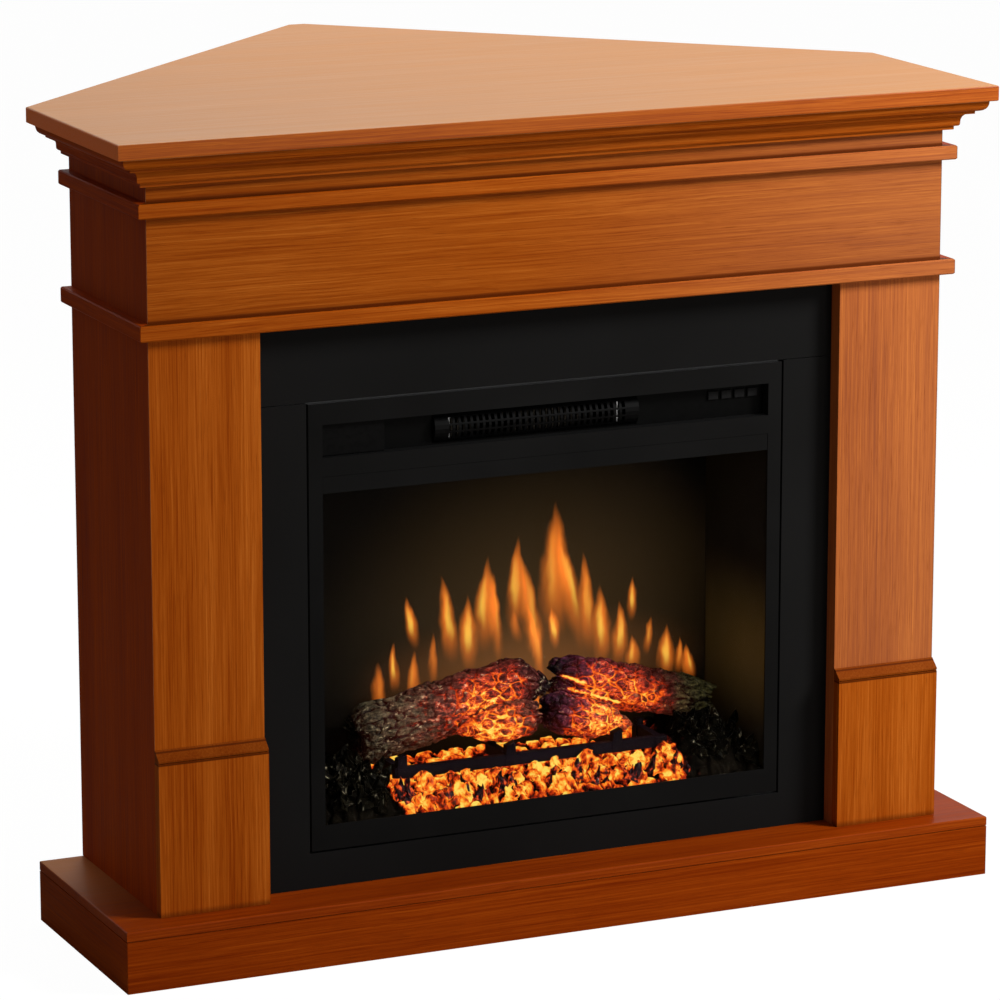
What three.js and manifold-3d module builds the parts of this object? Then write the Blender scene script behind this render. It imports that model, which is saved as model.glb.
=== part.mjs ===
// Corner fireplace: a wood-veneered mantel with a corner top, a black surround and an electric fire.
// Millimetres, +Z up, front towards -Y. The origin is on the floor, under the middle of the whole.
// Mantel pieces are drawn from the body's front face (y = 0) and the floor (z = 0). The electric fire
// has a frame of its own: y = 0 on its front face and z = 0 at its lower edge.

import * as THREE from 'three';
import { mergeVertices } from 'three/addons/utils/BufferGeometryUtils.js';
import Module from 'manifold-3d';

// ------------------------------------------------------------------ driving dimensions

const FIT = 0.3; // gap kept between pieces that touch
const PAST = 1; // how far a cutter, or a solid joined to another, reaches past the face where they meet

// Courses of the mantel, from the floor up
const PLINTH_HEIGHT = 60;
const BASE_BOARD_THICKNESS = 12;
const PILASTER_HEIGHT = 656.5;
const LOWER_BAND_HEIGHT = 18.5;
const FRIEZE_HEIGHT = 117;
const UPPER_BAND_HEIGHT = 17;
const NECK_HEIGHT = 18;
const CROWN_HEIGHT = 36;
const TOP_THICKNESS = 18;

// Plan of the mantel, whose width follows the electric fire's front frame
const BODY_DEPTH = 249;
const BOARD_THICKNESS = 20;
const PILASTER_WIDTH = 131.5;
const TOP_OVERHANG = 47; // past the body, at the front and the sides
const TOP_REAR_OVERHANG = 8; // keeps the base's rear corners off the room's walls
const TOP_CORNER_WIDTH = 22; // blunt end of the corner
const BASE_FRONT_REVEAL = 47;
const BASE_SIDE_REVEAL = 53;
const BAND_PROJECTION = 13;
const EASED_EDGE = 1.5;

// Crown moulding, from the top down: ovolo, fillet, ogee and foot
const CROWN_PROJECTION = 39.4;
const OVOLO_HEIGHT = 13;
const OVOLO_INSET = 12.2;
const CROWN_FILLET_HEIGHT = 3.3;
const CROWN_STEP_INSET = 7;
const CROWN_FOOT_PROJECTION = 9.5;
const CROWN_FOOT_HEIGHT = 4;

// Foot blocks of the pilasters
const FOOT_HEIGHT = 177.5;
const FOOT_CAP_HEIGHT = 14;
const FOOT_PROJECTION = 13;
const FOOT_GROOVE = 2;

// Hidden wood
const PLINTH_RAIL_THICKNESS = 18;
const REAR_RAIL_HEIGHT = 60;
const BATTEN_HEIGHT = 40;
const BATTEN_THICKNESS = 18;
const BATTEN_INSET = 60;
const BEARER_SPACING = 400;
const BEARER_WIDTH = 40;

// Black surround
const SURROUND_THICKNESS = 16;
const SURROUND_LAP = 20; // hidden behind the pilasters and the frieze board
const SURROUND_STILE = 62; // seen at each side of the electric fire
const SILL_HEIGHT = 41;
const SHADOW_GROOVE = 2.5; // round the electric fire
const HEADER_SEAM = 1;

// Front frame of the electric fire, a folded steel tray
const INSERT_WIDTH = 594;
const TOP_RAIL_HEIGHT = 24.5;
const SLOT_HEIGHT = 38;
const MIDDLE_RAIL_HEIGHT = 21.6;
const WINDOW_HEIGHT = 406.9;
const BOTTOM_RAIL_HEIGHT = 29;
const STILE_WIDTH = 17;
const FRAME_SHEET = 2;
const FRAME_FLANGE_DEPTH = 20;
const SLOT_LIP_DEPTH = 14;
const TRIM_HEIGHT = 19.7;
const TRIM_THICKNESS = 1.5;
const GLASS_THICKNESS = 4;
const GLASS_LAP = 8; // glass hidden behind the frame

// Case of the electric fire
const CASE_DEPTH = 210;
const CASE_MARGIN = 12; // between the case and the outside of the front frame, at the sides
const CASE_DROP = 4; // between the case and the frame's lower and upper edges
const CASE_SHEET = 2;
const FIREBOX_DEPTH = 165; // front face to flame screen
const SCREEN_THICKNESS = 3;
const CEILING_RISE = 5; // firebox ceiling above the window
const INTAKE_SLOTS = 14;
const INTAKE_PITCH = 26;
const INTAKE_WIDTH = 6;
const INTAKE_HEIGHT = 30;
const GLAND_RADIUS = 8;
const GLAND_BORE_RADIUS = 3.6;
const GLAND_LENGTH = 18;
const GLAND_X = -230;
const GLAND_HEIGHT = 35;
const GLAND_FLANGE = 4; // past the bush
const GLAND_FLANGE_THICKNESS = 3;
const GLAND_NECK = 2; // thinner at its outer end

// Controls behind the slot
const FASCIA_THICKNESS = 2;
const FASCIA_LAP = 6;
const DISPLAY_WIDTH = 78;
const DISPLAY_DEPTH = 7;
const BUTTON_COUNT = 4;
const BUTTON_PITCH = 17;
const BUTTON_WIDTH = 13;
const BUTTON_HEIGHT = 10;
const BUTTON_STAND = 3; // cap in front of the fascia
const BUTTON_TRAVEL = 1.5;
const BUTTON_FLANGE = 1;
const BUTTON_RISE = 8; // button centres above the slot's middle
const BUTTON_MARGIN = 15; // last button's centre from the slot's right end
const BUTTON_FLANGE_THICKNESS = 1.2;
const BUTTON_EASE = 0.8;
const STEM_LENGTH = 3.4; // behind the fascia
const STEM_SIZE = 4;
const SWITCH_DEPTH = 2;
const SWITCH_SIZE = 6;
const BOARD_SHEET = 1.6;
const BOARD_MARGIN = 4; // control board past the outer buttons' places
const BOARD_DROP = 14; // control board below and above the buttons' centres
const BOARD_RISE = 12;
const POST_SIZE = 4;
const BOARD_SEAT = 0.5; // switches and posts sunk in their board

// Heater: outlet grille, element, duct and tangential blower
const GRILLE_WIDTH = 256;
const GRILLE_CENTRE = -12;
const GRILLE_END_BLOCK = 16;
const GRILLE_BULGE = 11;
const GRILLE_WALL = 1.5;
const GRILLE_COLUMNS = 30;
const GRILLE_ROWS = 3;
const GRILLE_BAR = 3.2;
const GRILLE_RIB = 2.2;
const GRILLE_OPEN_HEIGHT = 26;
const GRILLE_FLANGE = 4; // behind the fascia, at each end
const GRILLE_FLANGE_RISE = 2; // past the slot, above and below
const ELEMENT_GAP = 8; // duct's mouth to the element
const ELEMENT_DEPTH = 12;
const ELEMENT_FINS = 25;
const FIN_THICKNESS = 2;
const DUCT_WALL = 1.5;
const ROTOR_LENGTH = 200;
const ROTOR_RADIUS = 22;
const ROTOR_BLADES = 14;
const BLADE_THICKNESS = 1.2;
const BLADE_CHORD = 7;
const ROTOR_DEPTH = 92; // rotor axis behind the front face
const SCROLL_CLEARANCE = 5;
const SHAFT_RADIUS = 3;
const SHAFT_CLEARANCE = 0.4;
const BLOWER_MOTOR_RADIUS = 20;
const BLOWER_MOTOR_LENGTH = 32;
const MOTOR_BORE_SHARE = 0.8; // depth of a motor's bore as a share of its length
const SHAFT_SHARE = 0.7; // how far the shaft goes into the motor
const MOTOR_CHAMFER = 2;
const ROTOR_DISC = 1.5;
const BLADE_SWEEP = 0.35; // radians, from the rotor's rim inwards
const BLADE_EASE = 0.45; // how much the sweep slackens inwards
const BLADE_RIM = 0.5; // blades stay inside the rotor's rim
const BLOWER_FOOT_WIDTH = 16;
const BLOWER_FOOT_DEPTH = 18;
const BLOWER_FOOT_INSET = 12;

// Flame effect
const ROD_HEIGHT = 85;
const ROD_PADDLES = 13;
const PADDLE_LENGTH = 26;
const PADDLE_CLEARANCE = 7; // paddles to the screen in front and the case behind
const PADDLE_THICKNESS = 1.2;
const FLICKER_MOTOR_CLEARANCE = 3; // motor to the screen in front and the case behind
const FLICKER_MOTOR_LENGTH = 20;
const FLICKER_BORE_DEPTH = 14;
const LED_BOARD_LENGTH = 480;
const LED_BOARD_WIDTH = 24;
const LED_COUNT = 16;
const LED_SIZE = 5;
const LED_RISE = 1.5; // above its board

// Fuel bed
const EMBER_WALL = 3;
const EMBER_FRONT_HEIGHT = 27;
const EMBER_CREST_HEIGHT = 50;
const EMBER_CREST_DEPTH = 52;
const EMBER_MOUND_HEIGHT = 20;
const EMBER_MOUND_WIDTH = 60;
const EMBER_MOUND_PLACE = 0.8; // top of the mound from the side, as a share of its width
const EMBER_MOUND_STEEPNESS = 3;
const EMBER_LUMP = 5;
const EMBER_COLUMNS = 46;
const EMBER_ROWS = 11;
const GRATE_DEPTH = 59; // front bar behind the front face
const GRATE_REAR_DEPTH = 118; // rear posts behind the front face
const GRATE_BAR = 9;
const GRATE_LENGTH = 350;
const GRATE_BOTTOM = 54;
const GRATE_BAR_HEIGHT = 13;
const PRONG_RISE = 15;
const PRONG_WIDTH = 14;
const PRONG_STAND = 1; // in front of the bar
const PRONG_DRAFT = 1.5; // each side of a prong leans in by this
const PRONG_SLANT = 4; // left corner of a prong below its right one
const GRATE_SPARS = [-160, -22, 116, 172];
const GRATE_SPAR_POSTS = [4, 32, 26, 8]; // rise of each rear post above the bars
const GRATE_PRONGS = 3;
const GRATE_LEG = 12;

// Logs: axis ends and radii along the length, in the electric fire's own frame
const LOGS = {
  log_back_left: {
    start: [-196, 118, 101], end: [52, 118, 138], taper: 12, twist: 0.5,
    radii: [30, 36, 39, 38, 33, 27, 20],
  },
  log_back_right: {
    start: [68, 120, 137], end: [268, 122, 90], taper: 9, twist: 2.1,
    radii: [20, 26, 32, 34, 31, 26, 21],
  },
  log_front_left: {
    start: [-82, 84, 86], end: [26, 86, 96], taper: 5, twist: 3.4,
    radii: [6, 17, 24, 27, 24, 18],
  },
  log_front_right: {
    start: [32, 84, 99], end: [146, 86, 78], taper: 5, twist: 4.6,
    radii: [17, 25, 27, 25, 18, 7],
  },
};
const LOG_SIDES = 12;
const LOG_ROUGHNESS = 0.07;
const LOG_START_SHARE = 0.55; // radius of each blunt end as a share of its neighbour's
const LOG_END_SHARE = 0.45;
const LOG_RING_TURN = 0.7; // radians that the unevenness turns from ring to ring

// ------------------------------------------------------------------ levels and places that follow

const baseTop = PLINTH_HEIGHT + BASE_BOARD_THICKNESS;
const pilasterTop = baseTop + PILASTER_HEIGHT;
const friezeBottom = pilasterTop + LOWER_BAND_HEIGHT;
const upperBandBottom = friezeBottom + FRIEZE_HEIGHT;
const neckBottom = upperBandBottom + UPPER_BAND_HEIGHT;
const crownBottom = neckBottom + NECK_HEIGHT;
const topUnderside = crownBottom + CROWN_HEIGHT;

const insertHalf = INSERT_WIDTH / 2;
const openingHalf = insertHalf + SHADOW_GROOVE + SURROUND_STILE;
const bodyHalf = openingHalf + PILASTER_WIDTH;
const topHalf = bodyHalf + TOP_OVERHANG;
const baseHalf = bodyHalf + BASE_SIDE_REVEAL;
const topSideBack = BODY_DEPTH + TOP_REAR_OVERHANG;
const topBack = topSideBack + topHalf - TOP_CORNER_WIDTH / 2;
const topFront = -TOP_OVERHANG;
const mitreStep = FIT * Math.SQRT2;

const surroundFront = BOARD_THICKNESS + FIT;
const insertBottom = baseTop + SILL_HEIGHT + SHADOW_GROOVE;
const windowHalf = insertHalf - STILE_WIDTH;
const windowTop = BOTTOM_RAIL_HEIGHT + WINDOW_HEIGHT;
const slotBottom = windowTop + MIDDLE_RAIL_HEIGHT;
const slotTop = slotBottom + SLOT_HEIGHT;
const insertHeight = slotTop + TOP_RAIL_HEIGHT;
const slotMiddle = (slotBottom + slotTop) / 2;
const trayHalf = insertHalf - FRAME_SHEET;
const glassFront = FRAME_SHEET + FIT;
const caseFront = glassFront + GLASS_THICKNESS + FIT;
const caseHalf = insertHalf - CASE_MARGIN;
const caseInner = caseHalf - CASE_SHEET;
const caseFloorTop = CASE_DROP + CASE_SHEET;
const wallTop = insertHeight - CASE_DROP - CASE_SHEET - FIT;
const fasciaFront = SLOT_LIP_DEPTH + FIT;
const fasciaBack = fasciaFront + FASCIA_THICKNESS;
const ceilingBottom = windowTop + CEILING_RISE;
const ceilingTop = ceilingBottom + CASE_SHEET;
const screenBack = FIREBOX_DEPTH + SCREEN_THICKNESS;
const caseBackFront = CASE_DEPTH - CASE_SHEET;
const rodDepth = (screenBack + caseBackFront) / 2;
const rodRoom = (caseBackFront - screenBack) / 2;

// ------------------------------------------------------------------ finishes

function finish(color, roughness, metalness, extra = {}) {
  return new THREE.MeshStandardMaterial({ color, roughness, metalness, ...extra });
}

const veneer = finish(0xa9621f, 0.42, 0);
const topVeneer = finish(0xc8905c, 0.38, 0);
const rawBoard = finish(0xa8865e, 0.85, 0);
const blackBoard = finish(0x171717, 0.5, 0);
const blackSteel = finish(0x141414, 0.45, 0.6);
const caseSteel = finish(0x1d1c1a, 0.55, 0.7);
const glass = finish(0x20242a, 0.05, 0, { transparent: true, opacity: 0.25 });
const blackPlastic = finish(0x0b0b0c, 0.3, 0);
const galvanised = finish(0x9a9da0, 0.4, 0.8);
const elementMetal = finish(0x8b7f70, 0.5, 0.7);
const motorSteel = finish(0x4a4c50, 0.45, 0.8);
const mirrorFoil = finish(0xc9ccd0, 0.15, 0.9);
const screenAcrylic = finish(0x241c10, 0.25, 0);
const circuitBoard = finish(0x20542e, 0.5, 0);
const emberResin = finish(0xb8420e, 0.6, 0, { emissive: 0x7a2200 });
const logResin = finish(0x4a3428, 0.85, 0);
const castIron = finish(0x121212, 0.7, 0.5);
const glandRubber = finish(0x101010, 0.7, 0);

// ------------------------------------------------------------------ shared operations

const wasm = await Module();
wasm.setup();

const X = new THREE.Vector3(1, 0, 0);
const Y = new THREE.Vector3(0, 1, 0);
const Z = new THREE.Vector3(0, 0, 1);

// A closed geometry as a solid that can be cut and joined.
function toSolid(geometry) {
  const bare = new THREE.BufferGeometry();
  bare.setAttribute('position', geometry.getAttribute('position').clone());
  if (geometry.index) {
    bare.setIndex(geometry.index.clone());
  }
  const merged = mergeVertices(bare);
  const mesh = new wasm.Mesh({
    numProp: 3,
    vertProperties: new Float32Array(merged.getAttribute('position').array),
    triVerts: new Uint32Array(merged.index.array),
  });
  return new wasm.Manifold(mesh);
}

// The solid as a geometry again, with flat faces.
function toGeometry(solid) {
  const mesh = solid.getMesh();
  const geometry = new THREE.BufferGeometry();
  geometry.setAttribute('position', new THREE.BufferAttribute(new Float32Array(mesh.vertProperties), 3));
  geometry.setIndex(new THREE.BufferAttribute(new Uint32Array(mesh.triVerts), 1));
  const flat = geometry.toNonIndexed();
  flat.computeVertexNormals();
  return flat;
}

// The first geometry with the others joined to it, and then the cutters taken away.
function carve(joined, cutters = []) {
  let solid = toSolid(joined[0]);
  for (const piece of joined.slice(1)) {
    solid = solid.add(toSolid(piece));
  }
  for (const cutter of cutters) {
    solid = solid.subtract(toSolid(cutter));
  }
  return toGeometry(solid);
}

function block([x0, x1], [y0, y1], [z0, z1]) {
  const geometry = new THREE.BoxGeometry(x1 - x0, y1 - y0, z1 - z0);
  return geometry.translate((x0 + x1) / 2, (y0 + y1) / 2, (z0 + z1) / 2);
}

function shapeOf(points) {
  return new THREE.Shape(points.map(([u, v]) => new THREE.Vector2(u, v)));
}

// A plan outline (x, y) raised along Z.
function upward(points, z0, z1) {
  const options = { depth: z1 - z0, bevelEnabled: false };
  return new THREE.ExtrudeGeometry(shapeOf(points), options).translate(0, 0, z0);
}

// A board with eased edges: a plan outline raised along Z.
function easedBoard(points, z0, z1, ease) {
  const options = {
    depth: z1 - z0 - 2 * ease, bevelThickness: ease, bevelSize: ease, bevelOffset: -ease, bevelSegments: 2,
  };
  return new THREE.ExtrudeGeometry(shapeOf(points), options).translate(0, 0, z0 + ease);
}

// A section (y, z) run along X.
function alongX(points, x0, x1) {
  const options = { depth: x1 - x0, bevelEnabled: false };
  const geometry = new THREE.ExtrudeGeometry(shapeOf(points), options);
  return geometry.applyMatrix4(new THREE.Matrix4().makeBasis(Y, Z, X)).translate(x0, 0, 0);
}

// A front outline (x, z) run along Y.
function alongY(points, y0, y1) {
  const options = { depth: y1 - y0, bevelEnabled: false };
  const geometry = new THREE.ExtrudeGeometry(shapeOf(points), options);
  return geometry.applyMatrix4(new THREE.Matrix4().makeBasis(X, Z, Y.clone().negate())).translate(0, y1, 0);
}

// A round bar on the X axis of the given centre.
function roundBar(radius, x0, x1, y, z, sides = 20) {
  const geometry = new THREE.CylinderGeometry(radius, radius, x1 - x0, sides);
  return geometry.rotateZ(Math.PI / 2).translate((x0 + x1) / 2, y, z);
}

// Turns a mesh's faces outwards if they all point in.
function facedOut(geometry) {
  const position = geometry.getAttribute('position');
  const corners = geometry.index.array;
  const [a, b, c] = [new THREE.Vector3(), new THREE.Vector3(), new THREE.Vector3()];
  let volume = 0;
  for (let i = 0; i < corners.length; i += 3) {
    a.fromBufferAttribute(position, corners[i]);
    b.fromBufferAttribute(position, corners[i + 1]);
    c.fromBufferAttribute(position, corners[i + 2]);
    volume += a.dot(b.cross(c));
  }
  if (volume < 0) {
    geometry.setIndex(new THREE.BufferAttribute(new Uint32Array(corners).reverse(), 1));
  }
  const flat = geometry.toNonIndexed();
  flat.computeVertexNormals();
  return flat;
}

// A skin over rings of equal count, with both ends closed by the ring's own outline.
function loft(rings, outline) {
  const count = outline.length;
  const positions = rings.flat().flatMap((point) => point.toArray());
  const index = [];
  for (let ring = 0; ring + 1 < rings.length; ring += 1) {
    for (let i = 0; i < count; i += 1) {
      const next = (i + 1) % count;
      const [a, b] = [ring * count + i, ring * count + next];
      index.push(a, b, b + count, a, b + count, a + count);
    }
  }
  const ends = THREE.ShapeUtils.triangulateShape(outline, []);
  const last = (rings.length - 1) * count;
  const turned = THREE.ShapeUtils.isClockWise(outline);
  for (const [i, j, k] of ends) {
    const [p, q] = turned ? [k, i] : [i, k];
    index.push(q, j, p);
    index.push(last + p, last + j, last + q);
  }
  const geometry = new THREE.BufferGeometry();
  geometry.setAttribute('position', new THREE.Float32BufferAttribute(positions, 3));
  geometry.setIndex(index);
  return facedOut(geometry);
}

// ------------------------------------------------------------------ scene

const fireplace = new THREE.Group();
fireplace.name = 'corner_fireplace';
const mantel = new THREE.Group();
mantel.position.set(0, -(topFront + topBack) / 2, 0);
const insert = new THREE.Group();
insert.position.set(0, surroundFront, insertBottom);
mantel.add(insert);
fireplace.add(mantel);

function place(parent, name, geometry, material, position = [0, 0, 0]) {
  const mesh = new THREE.Mesh(geometry, material);
  mesh.name = name;
  mesh.position.set(...position);
  parent.add(mesh);
  return mesh;
}

// ------------------------------------------------------------------ mantel: runs round three sides

// A section is a list of [out, up]: out from the body's face, up from the run's own lower edge.
// The front run is mitred at both ends, and each side run meets it on the same 45-degree plane.

function frontRun(section, half, face) {
  const left = section.map(([out, up]) => new THREE.Vector3(-half - out + mitreStep, face - out, up));
  const right = section.map(([out, up]) => new THREE.Vector3(half + out - mitreStep, face - out, up));
  return loft([left, right], section.map(([out, up]) => new THREE.Vector2(out, up)));
}

function sideRun(section, side, half, face, back) {
  const front = section.map(([out, up]) => new THREE.Vector3(side * (half + out), face - out, up));
  const rear = section.map(([out, up]) => new THREE.Vector3(side * (half + out), back, up));
  return loft([front, rear], section.map(([out, up]) => new THREE.Vector2(out, up)));
}

function threeSidedRun(name, section, bottom, material) {
  place(mantel, `${name}_front`, frontRun(section, bodyHalf, 0), material, [0, 0, bottom]);
  for (const [word, side] of [['left', -1], ['right', 1]]) {
    const geometry = sideRun(section, side, bodyHalf, 0, BODY_DEPTH);
    place(mantel, `${name}_${word}`, geometry, material, [0, 0, bottom]);
  }
}

function boardSection(thickness, height) {
  return [[-thickness, 0], [0, 0], [0, height], [-thickness, height]];
}

function bandSection(height) {
  const top = height - FIT;
  const reach = BAND_PROJECTION;
  const eased = reach - EASED_EDGE;
  return [[FIT, 0], [eased, 0], [reach, EASED_EDGE], [reach, top - EASED_EDGE], [eased, top], [FIT, top]];
}

function crownSection() {
  const top = CROWN_HEIGHT - FIT;
  const ovoloReach = CROWN_PROJECTION - OVOLO_INSET;
  const ovoloBottom = CROWN_HEIGHT - OVOLO_HEIGHT;
  const stepReach = ovoloReach - CROWN_STEP_INSET;
  const stepLevel = ovoloBottom - CROWN_FILLET_HEIGHT;
  const ogeeMiddle = (stepLevel + CROWN_FOOT_HEIGHT) / 2;
  const shape = new THREE.Shape();
  shape.moveTo(FIT, 0);
  shape.lineTo(CROWN_FOOT_PROJECTION, 0);
  shape.lineTo(CROWN_FOOT_PROJECTION, CROWN_FOOT_HEIGHT);
  shape.bezierCurveTo(stepReach, CROWN_FOOT_HEIGHT, CROWN_FOOT_PROJECTION, ogeeMiddle, stepReach, stepLevel);
  shape.lineTo(ovoloReach, stepLevel);
  shape.lineTo(ovoloReach, ovoloBottom);
  shape.quadraticCurveTo(CROWN_PROJECTION, ovoloBottom, CROWN_PROJECTION, top);
  shape.lineTo(FIT, top);
  const curveSteps = 6;
  return shape.extractPoints(curveSteps).shape.map((point) => [point.x, point.y]);
}

function makeTop() {
  const outline = [
    [-topHalf, topFront], [topHalf, topFront], [topHalf, topSideBack],
    [TOP_CORNER_WIDTH / 2, topBack], [-TOP_CORNER_WIDTH / 2, topBack], [-topHalf, topSideBack],
  ];
  const board = easedBoard(outline, 0, TOP_THICKNESS, EASED_EDGE);
  place(mantel, 'top_panel', board, topVeneer, [0, 0, topUnderside]);
  threeSidedRun('crown_moulding', crownSection(), crownBottom, veneer);
  threeSidedRun('upper_band', bandSection(UPPER_BAND_HEIGHT), upperBandBottom, veneer);
  threeSidedRun('lower_band', bandSection(LOWER_BAND_HEIGHT), pilasterTop, veneer);
}

function makeBody() {
  const friezeBoard = boardSection(BOARD_THICKNESS, topUnderside - FIT - pilasterTop);
  place(mantel, 'frieze_board', frontRun(friezeBoard, bodyHalf, 0), veneer, [0, 0, pilasterTop]);
  const sidePanel = boardSection(BOARD_THICKNESS, topUnderside - FIT - baseTop);
  const pilaster = boardSection(BOARD_THICKNESS, PILASTER_HEIGHT - FIT);
  for (const [word, side] of [['left', -1], ['right', 1]]) {
    const panel = sideRun(sidePanel, side, bodyHalf, 0, BODY_DEPTH);
    place(mantel, `side_panel_${word}`, panel, veneer, [0, 0, baseTop]);
    const mitred = bodyHalf - mitreStep;
    const outer = pilaster.map(([out, up]) => new THREE.Vector3(side * (mitred + out), -out, up));
    const inner = pilaster.map(([out, up]) => new THREE.Vector3(side * openingHalf, -out, up));
    const front = loft([outer, inner], pilaster.map(([out, up]) => new THREE.Vector2(out, up)));
    place(mantel, `pilaster_${word}`, front, veneer, [0, 0, baseTop]);
  }
}

// Foot block: a plain face, a sunk groove, a narrow bead and a bevel back to the pilaster.
function makeFeet() {
  const face = -FOOT_PROJECTION;
  const grooveTop = FOOT_HEIGHT + FOOT_GROOVE;
  const beadTop = grooveTop + FOOT_GROOVE;
  const section = [
    [-FIT, 0], [-FIT, FOOT_HEIGHT + FOOT_CAP_HEIGHT], [-EASED_EDGE, FOOT_HEIGHT + FOOT_CAP_HEIGHT],
    [face, beadTop], [face, grooveTop], [face + FOOT_GROOVE, grooveTop - FOOT_GROOVE / 2],
    [face, FOOT_HEIGHT], [face, 0],
  ];
  for (const [word, side] of [['left', -1], ['right', 1]]) {
    const [x0, x1] = [side * bodyHalf, side * openingHalf].sort((a, b) => a - b);
    const geometry = alongX(section, x0, x1);
    place(mantel, `pilaster_foot_${word}`, geometry, veneer, [0, 0, baseTop]);
  }
}

function makeBase() {
  const front = -BASE_FRONT_REVEAL;
  const outline = [[-baseHalf, front], [baseHalf, front], [baseHalf, BODY_DEPTH], [-baseHalf, BODY_DEPTH]];
  const board = easedBoard(outline, PLINTH_HEIGHT, baseTop - FIT, EASED_EDGE);
  place(mantel, 'base_board', board, veneer);
  const rail = boardSection(PLINTH_RAIL_THICKNESS, PLINTH_HEIGHT - FIT);
  place(mantel, 'base_front_rail', frontRun(rail, baseHalf, front), veneer);
  place(mantel, 'base_left_rail', sideRun(rail, -1, baseHalf, front, BODY_DEPTH), veneer);
  place(mantel, 'base_right_rail', sideRun(rail, 1, baseHalf, front, BODY_DEPTH), veneer);
  const innerHalf = baseHalf - PLINTH_RAIL_THICKNESS - FIT;
  const backRail = block(
    [-innerHalf, innerHalf], [BODY_DEPTH - PLINTH_RAIL_THICKNESS, BODY_DEPTH], [0, PLINTH_HEIGHT - FIT],
  );
  place(mantel, 'base_back_rail', backRail, rawBoard);
}

// Rail across the open back, and two battens under the corner that follow the room's walls.
function makeHiddenWood() {
  const railHalf = bodyHalf - BOARD_THICKNESS - FIT;
  const railTop = topUnderside - FIT;
  const rail = block(
    [-railHalf, railHalf], [BODY_DEPTH - BOARD_THICKNESS, BODY_DEPTH],
    [railTop - REAR_RAIL_HEIGHT, railTop],
  );
  place(mantel, 'rear_top_rail', rail, rawBoard);
  const wallLine = topHalf + topSideBack;
  const outer = wallLine - BATTEN_INSET * Math.SQRT2;
  const inner = outer - BATTEN_THICKNESS * Math.SQRT2;
  const start = BODY_DEPTH + FIT;
  for (const [word, side] of [['left', -1], ['right', 1]]) {
    const outline = [
      [side * FIT, inner - FIT], [side * (inner - start), start],
      [side * (outer - start), start], [side * FIT, outer - FIT],
    ];
    const batten = upward(outline, railTop - BATTEN_HEIGHT, railTop);
    place(mantel, `corner_batten_${word}`, batten, rawBoard);
    const centre = side * BEARER_SPACING / 2;
    const bearer = block(
      [centre - BEARER_WIDTH / 2, centre + BEARER_WIDTH / 2],
      [surroundFront + FRAME_FLANGE_DEPTH + FIT, surroundFront + CASE_DEPTH],
      [baseTop, insertBottom + CASE_DROP - FIT],
    );
    place(mantel, `case_bearer_${word}`, bearer, rawBoard);
  }
}

// Black surround: a header board, and one board cut to a U that takes the electric fire.
function makeSurround() {
  const half = openingHalf + SURROUND_LAP;
  const back = surroundFront + SURROUND_THICKNESS;
  const holeHalf = insertHalf + SHADOW_GROOVE;
  const holeTop = insertBottom + insertHeight + SHADOW_GROOVE;
  const holeBottom = baseTop + SILL_HEIGHT;
  const header = block([-half, half], [surroundFront, back], [holeTop, pilasterTop + SURROUND_LAP]);
  place(mantel, 'surround_header', header, blackBoard);
  const top = holeTop - HEADER_SEAM;
  const outline = [
    [-half, baseTop], [half, baseTop], [half, top], [holeHalf, top],
    [holeHalf, holeBottom], [-holeHalf, holeBottom], [-holeHalf, top], [-half, top],
  ];
  place(mantel, 'surround_panel', alongY(outline, surroundFront, back), blackBoard);
}

// ------------------------------------------------------------------ electric fire: frame and case

// Front frame: a shallow steel tray, open at the back, with a lip folded in round the control slot.
function makeFrame() {
  const tray = block([-insertHalf, insertHalf], [0, FRAME_FLANGE_DEPTH], [0, insertHeight]);
  const pocket = block(
    [-trayHalf, trayHalf], [FRAME_SHEET, FRAME_FLANGE_DEPTH + PAST],
    [FRAME_SHEET, insertHeight - FRAME_SHEET],
  );
  const lip = block(
    [-windowHalf - FRAME_SHEET, windowHalf + FRAME_SHEET], [FRAME_SHEET / 2, SLOT_LIP_DEPTH],
    [slotBottom - FRAME_SHEET, slotTop + FRAME_SHEET],
  );
  const slot = block([-windowHalf, windowHalf], [-PAST, SLOT_LIP_DEPTH + PAST], [slotBottom, slotTop]);
  const window = block(
    [-windowHalf, windowHalf], [-PAST, FRAME_SHEET + PAST], [BOTTOM_RAIL_HEIGHT, windowTop],
  );
  const shell = toSolid(tray).subtract(toSolid(pocket)).add(toSolid(lip));
  const frame = shell.subtract(toSolid(slot)).subtract(toSolid(window));
  place(insert, 'insert_front_frame', toGeometry(frame), blackSteel);
}

function makeWindow() {
  const trimHalf = windowHalf - FIT;
  const trim = block(
    [-trimHalf, trimHalf], [glassFront - FIT - TRIM_THICKNESS, glassFront - FIT],
    [windowTop - TRIM_HEIGHT, windowTop - FIT],
  );
  place(insert, 'glass_trim', trim, blackSteel);
  const glassHalf = windowHalf + GLASS_LAP;
  const pane = block(
    [-glassHalf, glassHalf], [glassFront, glassFront + GLASS_THICKNESS],
    [BOTTOM_RAIL_HEIGHT - GLASS_LAP, windowTop + GLASS_LAP],
  );
  place(insert, 'window_glass', pane, glass);
}

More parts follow.
